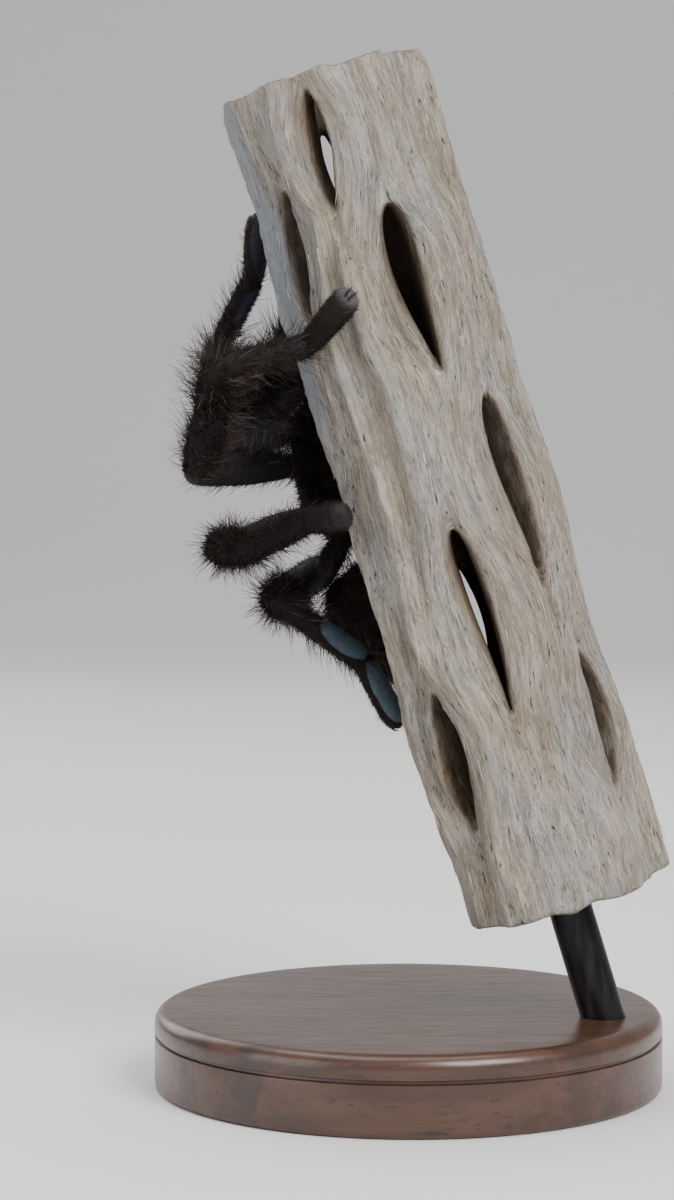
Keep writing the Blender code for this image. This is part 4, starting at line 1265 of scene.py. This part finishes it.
LENS = eye_material()
for word, side in (("right", -1), ("left", 1)):
    for name, f, l, u, r in (("anterior_median", 0.35, 0.42, 1.25, 1.0), ("anterior_lateral", 1.25, 1.35, 0.25, 0.95),
                             ("posterior_lateral", -0.35, 1.62, 0.42, 0.85), ("posterior_median", -0.75, 0.85, 1.05, 0.75)):
        c = body_point(TUBERCLE_F + f, side * l, TUBERCLE_TOP + u)
        sink = np.array(body_point(TUBERCLE_F, 0, TUBERCLE_TOP - 1.5)) - np.array(c)
        c = np.array(c) + sink / np.linalg.norm(sink) * 0.30
        n, m_ = 24, 14
        V = [c + EYE_RADIUS * r * 1.02 * np.array((math.sin(math.pi * i / m_) * math.cos(TAU * j / n),
                                           math.sin(math.pi * i / m_) * math.sin(TAU * j / n), math.cos(math.pi * i / m_)))
             for i in range(1, m_) for j in range(n)]
        F = []
        for i in range(m_ - 2):
            for j in range(n):
                a, b = i * n + j, i * n + (j + 1) % n
                F += [(a, a + n, b + n), (a, b + n, b)]
        V += [c + np.array((0, 0, EYE_RADIUS * r * 1.02)), c - np.array((0, 0, EYE_RADIUS * r * 1.02))]
        for j in range(n):
            F.append((len(V) - 2, j, (j + 1) % n))
            k = (m_ - 2) * n
            F.append((len(V) - 1, k + (j + 1) % n, k + j))
        ob = build_mesh(f"lens_{name}_{word}", np.array(V), np.array(F), LENS)
        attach(ob, "root")
        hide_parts(f"eye_{name}_{word}")

# ------------------------------------------------------------------ the wood
EYELETS = list(FRONT_EYELETS)
for angle_, first in BACK_COLUMNS:
    for k in range(3):
        s = first + k * BACK_PITCH
        if s < 31:
            EYELETS.append((s, angle_, *BACK_SIZE))


def wrap(a):
    return (a + math.pi) % TAU - math.pi


# How each front eyelet is cut: blunt at its upper end or pointed at both,
# and the lean of its walls (positive shows the wall on the +X side)
FRONT_CUT = [(0, 0.10), (0, -0.20), (1, 0.34), (1, 0.12), (1, 0.0), (0, 0.16), (0, -0.26)]


def wood_parts(s, phi, r):
    """Outer radius, nearness to an eyelet's side, the fibres' own angle and the valleys."""
    R = PERCH_RADIUS - 0.04 + 0.10 * np.sin(6 * phi + s * 0.13) + 0.08 * np.sin(s * 0.21 + 2 * phi)
    R = R + 0.30 * (noise3(np.cos(phi) * 2.2 + 5, np.sin(phi) * 2.2 + 5, s / 9.0 + 9) - 0.66)
    psi = phi.copy()
    hole = np.full(np.shape(s), -9.0)
    valley = np.zeros(np.shape(s))
    for n, (s0, a0, length, width_) in enumerate(EYELETS):
        half = length / 2
        blunt, lean = FRONT_CUT[n] if n < len(FRONT_CUT) else (0, 0.22 if n % 2 else -0.22)
        u = (s - s0) / half
        uu = u + 0.26 * (1 - np.clip(u, -1, 1) ** 2) if blunt else u
        # the eyelet's line wanders a little across the grain
        v = wrap(phi - rad(a0)) * 10.0 + 0.35 * np.sin(u * 2.1 + n) - 0.35 * math.sin(n)
        top = np.clip(1 - np.abs(uu) ** 2.8, 0, 1) ** 0.62 if blunt else np.clip(1 - np.abs(uu) ** 1.9, 0, 1) ** 0.9
        tail = np.clip(1 - np.abs(uu) ** 1.6, 0, 1) ** 0.95
        lens = np.where(uu < 0, top, tail)
        wide = width_ / 2 * lens
        depth = np.clip(PERCH_RADIUS - r, -1, 6.5)
        vv = v - lean * depth + lean * 0.6
        flare = 0.97 + 0.08 * np.exp(-np.clip(depth, 0, 9) / 0.5)
        over = np.clip(np.abs(u) - 0.97, 0, None) * half
        side_ = np.sqrt(np.abs(vv) ** 2 + (over * 0.9) ** 2)
        hole = np.maximum(hole, wide * flare - side_)
        # a trough along the eyelet that runs on past its ends as a groove
        run = np.exp(-(np.clip(np.abs(u) - 0.75, 0, None) * half / 3.4) ** 2)
        far = np.exp(-(np.clip(np.abs(u) - 1.0, 0, None) * half / 5.5) ** 2)
        soft = np.exp(-(np.clip(np.abs(v + lean * 1.6) - wide * 0.5, 0, None) / 2.0) ** 2)
        groove = np.exp(-(v / 0.75) ** 2)
        R = R - 0.85 * run * soft - 0.60 * far * groove * (1 - lens)
        valley = np.maximum(valley, np.maximum(run * soft * 0.8, far * groove))
        # fibres are pushed aside by the eyelet and close again past it
        push = (width_ / 2 + 1.3) * np.exp(-(np.clip(np.abs(u) - 0.30, 0, None) / 0.60) ** 2)
        near = np.exp(-np.clip(np.abs(v) - wide, 0, None) / 3.4)
        psi = psi - np.tanh(v / 0.5) * push * near / 10.0
    rib = noise3(np.cos(psi) * 4.6 + 30, np.sin(psi) * 4.6 + 30, s * 0.055 + 11)
    rib2 = noise3(np.cos(psi) * 9.5 + 50, np.sin(psi) * 9.5 + 50, s * 0.10 + 17)
    R = R + 1.40 * (smooth(0.25, 0.75, rib) - 0.82) + 0.50 * (rib2 - 0.7)
    return R, hole, psi, valley


VW = 0.39
gx = np.arange(-12.6, 12.6 + VW, VW)
gs = np.arange(PERCH_TOP - 1.2, PERCH_END + 1.2 + VW, VW)
X, Y, Z = np.meshgrid(gx, gx, gs, indexing='ij')
r = np.sqrt(X * X + Y * Y)
phi = np.arctan2(X, -Y)
R, hole, psi, _ = wood_parts(Z, phi, r)
crease = 0.55 * np.exp(-((wrap(phi - rad(-66) - 0.012 * (Z - 4)) * 10.5) / 0.32) ** 2) * smooth(-10, -2, Z) * (1 - smooth(20, 27, Z))
strands = 0.34 * (noise3(np.cos(psi) * 8 + 20, np.sin(psi) * 8 + 20, Z * 0.07 + 3) - 0.55)
bore = PERCH_BORE + 0.10 + 0.7 * noise3(np.cos(phi) * 1.7 + 7, np.sin(phi) * 1.7 + 7, Z / 6.0)
ragged = 0.8 * (noise3(np.cos(phi) * 5 + 3, np.sin(phi) * 5 + 3, r * 0.5) - 0.1)
shell = r - (R - crease + np.minimum(strands, 0.05))
solid = np.maximum(shell, bore - r)


def smax(a, b, k):
    return np.maximum(a, b) + np.clip(k - np.abs(a - b), 0, None) ** 2 / (4 * k)


solid = smax(solid, hole * 0.95, 0.55)
ends = np.maximum(PERCH_TOP + 0.10 + ragged - Z, Z - (PERCH_END - 0.10 - ragged * (r > 5.6)))
solid = smax(solid, ends, 0.45).astype(np.float32)
wv, wq = surface_net(solid, np.array((gx[0], gx[0], gs[0])), VW)
wv = relax(wv, wq, 1, 0.3)
r = np.hypot(wv[:, 0], wv[:, 1])
phi = np.arctan2(wv[:, 0], -wv[:, 1])
R, hole, psi, valley = wood_parts(wv[:, 2], phi, r)
wn = vertex_normals(wv, wq)
if np.dot(np.cross(nSIDE, nBACK), nDOWN) < 0:
    wq = wq[:, ::-1]
    flip_normals = True
else:
    flip_normals = False
radial = np.stack([np.sin(phi), -np.cos(phi), np.zeros_like(phi)], 1)
outer = smooth(0.35, 0.85, (wn * radial).sum(1)) * smooth(7.5, 9.0, r)
fine = noise3(np.cos(psi) * 17 + 40, np.sin(psi) * 17 + 40, wv[:, 2] * 0.22 + 3) - 0.62
finer = noise3(np.cos(psi) * 34 + 80, np.sin(psi) * 34 + 80, wv[:, 2] * 0.5 + 3) - 0.62
pits = noise3(wv[:, 0] * 0.9 + 9, wv[:, 1] * 0.9 + 9, wv[:, 2] * 0.45) - 0.62
wv = wv + radial * (outer * (0.34 * fine + 0.22 * finer + 0.16 * pits))[:, None]


def grain_of(v, psi, r):
    g = np.stack([11 * np.sin(psi), -11 * np.cos(psi), v[:, 2]], 1)
    g[:, :2] *= np.clip(r / 11.0, 0.3, 1.1)[:, None]
    return g


grain = grain_of(wv, psi, r)
# painted shade: how far a point lies below the outer surface, to darken the eyelet walls and the bore
inside = np.clip((R - r) / 6.0, 0, 1)
lip = np.exp(-(np.clip(-hole, 0, None) / 0.42)) * (hole > -8)
cut = smooth(0.75, 0.95, np.abs(wn[:, 2])) * ((wv[:, 2] < PERCH_TOP + 1.4) | (wv[:, 2] > PERCH_END - 1.4))
# painted cool light: a blue-grey strip down the shaded side
strip = smooth(-1.85, -1.62, phi) * (1 - smooth(-1.16, -1.02, phi)) * (1 - smooth(-14, -4, wv[:, 2]))


def placed(v):
    return nORIGIN + v[:, 0:1] * nSIDE + v[:, 1:2] * nBACK + v[:, 2:3] * nDOWN


WOOD = wood_material()
wood = build_mesh("cactus_wood", placed(wv), wq, WOOD,
                  attributes=[("grain", "FLOAT_VECTOR", grain), ("depth", "FLOAT", inside), ("rim", "FLOAT", lip),
                              ("cut", "FLOAT", cut), ("valley", "FLOAT", valley), ("strip", "FLOAT", strip)])
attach(wood, "root")
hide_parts("perch")
print("wood triangles", len(wq) * 2)

# frayed fibres lying along the grain of the outside
pick = np.flatnonzero((outer > 0.7) & (hole < -0.25) & (np.abs(wv[:, 2]) < 40))
pick = rng.choice(pick, 900, replace=False)
SV, SF, SG, ST_ = [], [], [], []
for n, i in enumerate(pick):
    p0, q = wv[i], radial[i]
    # the local run of the fibres: keep to the same angle of their own
    step = 0.35
    up_r, _, psi_up, _ = wood_parts(np.array([p0[2] + step]), np.array([phi[i]]), np.array([r[i]]))
    drift = float(psi[i] - psi_up[0])
    along_ = np.array([math.cos(phi[i]) * drift * r[i], math.sin(phi[i]) * drift * r[i], step])
    along_ = along_ / np.linalg.norm(along_)
    long_ = 0.9 + 2.2 * rng.random()
    thick = 0.035 + 0.05 * rng.random()
    rise = 0.02 + 0.22 * rng.random() ** 3
    curl = rng.normal(0, 0.25)
    across_ = np.cross(q, along_)
    ring = []
    for k in range(4):
        t = k / 3
        c = p0 + along_ * (t - 0.3) * long_ + q * (rise * long_ * t * t - 0.03) + across_ * curl * t * t * long_ * 0.4
        rad_t = thick * (1 - 0.75 * t)
        if k == 3:
            ring.append([c])
            break
        ring.append([c + q * rad_t * 0.9, c + across_ * rad_t * 1.3 - q * rad_t * 0.5, c - across_ * rad_t * 1.3 - q * rad_t * 0.5])
    base_i = sum(len(x) for x in SV)
    SV.append(np.array([p for rr in ring for p in rr]))
    for k in range(2):
        for j in range(3):
            a_, b_ = base_i + 3 * k + j, base_i + 3 * k + (j + 1) % 3
            SF += [(a_, b_, b_ + 3), (a_, b_ + 3, a_ + 3)]
    for j in range(3):
        SF.append((base_i + 6 + j, base_i + 6 + (j + 1) % 3, base_i + 9))
    SF.append((base_i + 2, base_i + 1, base_i))
    SG.append(np.tile(grain[i] + rng.normal(0, 0.6, 3), (10, 1)))
    ST_.append(np.full(10, strip[i]))
SV, SF, SG, ST_ = np.concatenate(SV), np.array(SF), np.concatenate(SG), np.concatenate(ST_)
if flip_normals:
    SF = SF[:, ::-1]
frayed = build_mesh("cactus_wood_frayed_fibres", placed(SV), SF, WOOD,
                    attributes=[("grain", "FLOAT_VECTOR", SG), ("depth", "FLOAT", np.zeros(len(SV))), ("rim", "FLOAT", np.zeros(len(SV))),
                                ("cut", "FLOAT", np.zeros(len(SV))), ("valley", "FLOAT", np.zeros(len(SV))), ("strip", "FLOAT", ST_)])
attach(frayed, "root")


# ------------------------------------------------------------------ the stand
def lathe(name, centre, axis, profile, sides, material):
    u = axis.orthogonal().normalized()
    v = axis.cross(u)
    V = []
    for radius, h in profile:
        V += [tuple(centre + axis * h + (u * math.cos(TAU * j / sides) + v * math.sin(TAU * j / sides)) * radius)
              for j in range(sides)]
    F = []
    n = len(profile)
    for i in range(n - 1):
        for j in range(sides):
            a, b = i * sides + j, i * sides + (j + 1) % sides
            F += [(a, b, b + sides), (a, b + sides, a + sides)]
    V += [tuple(centre + axis * profile[0][1]), tuple(centre + axis * profile[-1][1])]
    for j in range(sides):
        F.append((len(V) - 2, (j + 1) % sides, j))
        k = (n - 1) * sides
        F.append((len(V) - 1, k + j, k + (j + 1) % sides))
    ob = build_mesh(name, np.array(V), np.array(F), material)
    ob.data.set_sharp_from_angle(angle=rad(40))
    return ob


profile = [(BASE_RADIUS - 0.9, 0.0), (BASE_RADIUS - 0.6, 0.0), (BASE_RADIUS - 0.25, 0.12), (BASE_RADIUS - 0.05, 0.36), (BASE_RADIUS, 0.7)]
profile += [(BASE_RADIUS, h) for h in np.linspace(1.2, 5.0, 5)]
# a turned bead line below the rounded top edge
profile += [(BASE_RADIUS - 0.02, 5.2), (BASE_RADIUS - 0.32, 5.32), (BASE_RADIUS - 0.34, 5.55), (BASE_RADIUS - 0.03, 5.68), (BASE_RADIUS, 5.8), (BASE_RADIUS, 6.5)]
for k in range(1, 10):
    a = math.pi / 2 * k / 9
    profile.append((BASE_RADIUS - BASE_EDGE + BASE_EDGE * math.cos(a), BASE_HEIGHT - BASE_EDGE + BASE_EDGE * math.sin(a)))
profile += [(rr, BASE_HEIGHT) for rr in (22.0, 16.0, 10.0, 5.0, 2.0)]
base = lathe("stand_turned_base", Vector((0, 0, 0)), Vector((0, 0, 1)), profile, 160, base_material())
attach(base, "root")
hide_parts("stand_base")

STEEL = metal_material()
foot = PERCH_ORIGIN + DOWN * ((PERCH_ORIGIN.z - BASE_HEIGHT + 0.6) / -DOWN.z)
long_ = (foot - (PERCH_ORIGIN + DOWN * (PERCH_END - PLUG_LENGTH))).length
profile = [(3.8, 0.0), (PLUG_RADIUS, 0.5), (PLUG_RADIUS, PLUG_LENGTH - 0.3), (PLUG_RADIUS - 0.3, PLUG_LENGTH),
           (ROD_RADIUS + 0.3, PLUG_LENGTH), (ROD_RADIUS, PLUG_LENGTH + 0.3), (ROD_RADIUS, PLUG_LENGTH + 3.0), (ROD_RADIUS, long_)]
rod = lathe("stand_steel_rod", PERCH_ORIGIN + DOWN * (PERCH_END - PLUG_LENGTH), DOWN, profile, 48, STEEL)
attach(rod, "root")
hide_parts("stand_rod")

# ------------------------------------------------------------------ studio
def studio_material():
    k = Nodes("pale_floor")
    pos = k.new("ShaderNodeTexCoord").outputs["Object"]
    n = k.noise(pos, 3.0, 2.0, 0.5)
    k.link(k.mix(n, (0.70, 0.685, 0.68), (0.74, 0.725, 0.72)), k.bsdf.inputs["Base Color"])
    k.set(Roughness=0.85, Specular_IOR_Level=0.2)
    return k.mat


line = [(-1400.0, 0.0), (-400.0, 0.0), (250.0, 0.0), (600.0, 0.0)]
for k in range(1, 17):
    a = math.pi / 2 * k / 16
    line.append((600 + 400 * math.sin(a), 400 - 400 * math.cos(a)))
line += [(1000.0, 800.0), (1000.0, 2200.0)]
V = np.array([(x, y, z) for y, z in line for x in (-1800.0, -600.0, 600.0, 1800.0)])
F = np.array([(i * 4 + j, i * 4 + j + 1, i * 4 + j + 5, i * 4 + j + 4) for i in range(len(line) - 1) for j in range(3)])
floor = build_mesh("studio_floor", V, F, studio_material())


def area(name, place, target, size, power, colour=(1, 1, 1)):
    light = bpy.data.lights.new(name, 'AREA')
    light.shape = 'RECTANGLE'
    light.size, light.size_y = size
    light.energy = power
    light.color = colour
    ob = bpy.data.objects.new(name, light)
    bpy.context.scene.collection.objects.link(ob)
    ob.location = place
    ob.rotation_euler = (Vector(target) - Vector(place)).to_track_quat('-Z', 'Y').to_euler()
    return ob


TARGET = (0.0, 0.0, 0.055)
area("key", (0.30, -0.42, 0.46), TARGET, (0.34, 0.34), 5.8, (1.0, 0.99, 0.975))
area("fill", (-0.55, -0.35, 0.22), TARGET, (0.5, 0.5), 2.2, (0.95, 0.975, 1.0))
area("top", (-0.05, 0.10, 0.62), TARGET, (0.5, 0.4), 3.0, (1.0, 1.0, 1.0))
area("rim", (-0.34, 0.42, 0.30), TARGET, (0.3, 0.4), 1.0, (1.0, 0.98, 0.96))
world = bpy.data.worlds.new("studio")
bpy.context.scene.world = world
world.use_nodes = True
world.node_tree.nodes["Background"].inputs[0].default_value = (0.92, 0.93, 0.95, 1.0)
world.node_tree.nodes["Background"].inputs[1].default_value = 0.42

cam = bpy.data.cameras.new("view")
cam.sensor_fit = 'VERTICAL'
cam.sensor_height = 36.0
cam.lens = 90.0
cam.clip_start, cam.clip_end = 0.01, 10.0
camera = bpy.data.objects.new("view", cam)
bpy.context.scene.collection.objects.link(camera)
elevation = rad(3.0)
camera.location = (-0.0073, -0.006 - 0.300 * math.cos(elevation), 0.050 + 0.300 * math.sin(elevation))
camera.rotation_euler = (math.pi / 2 - elevation, 0.0, 0.0)
bpy.context.scene.camera = camera
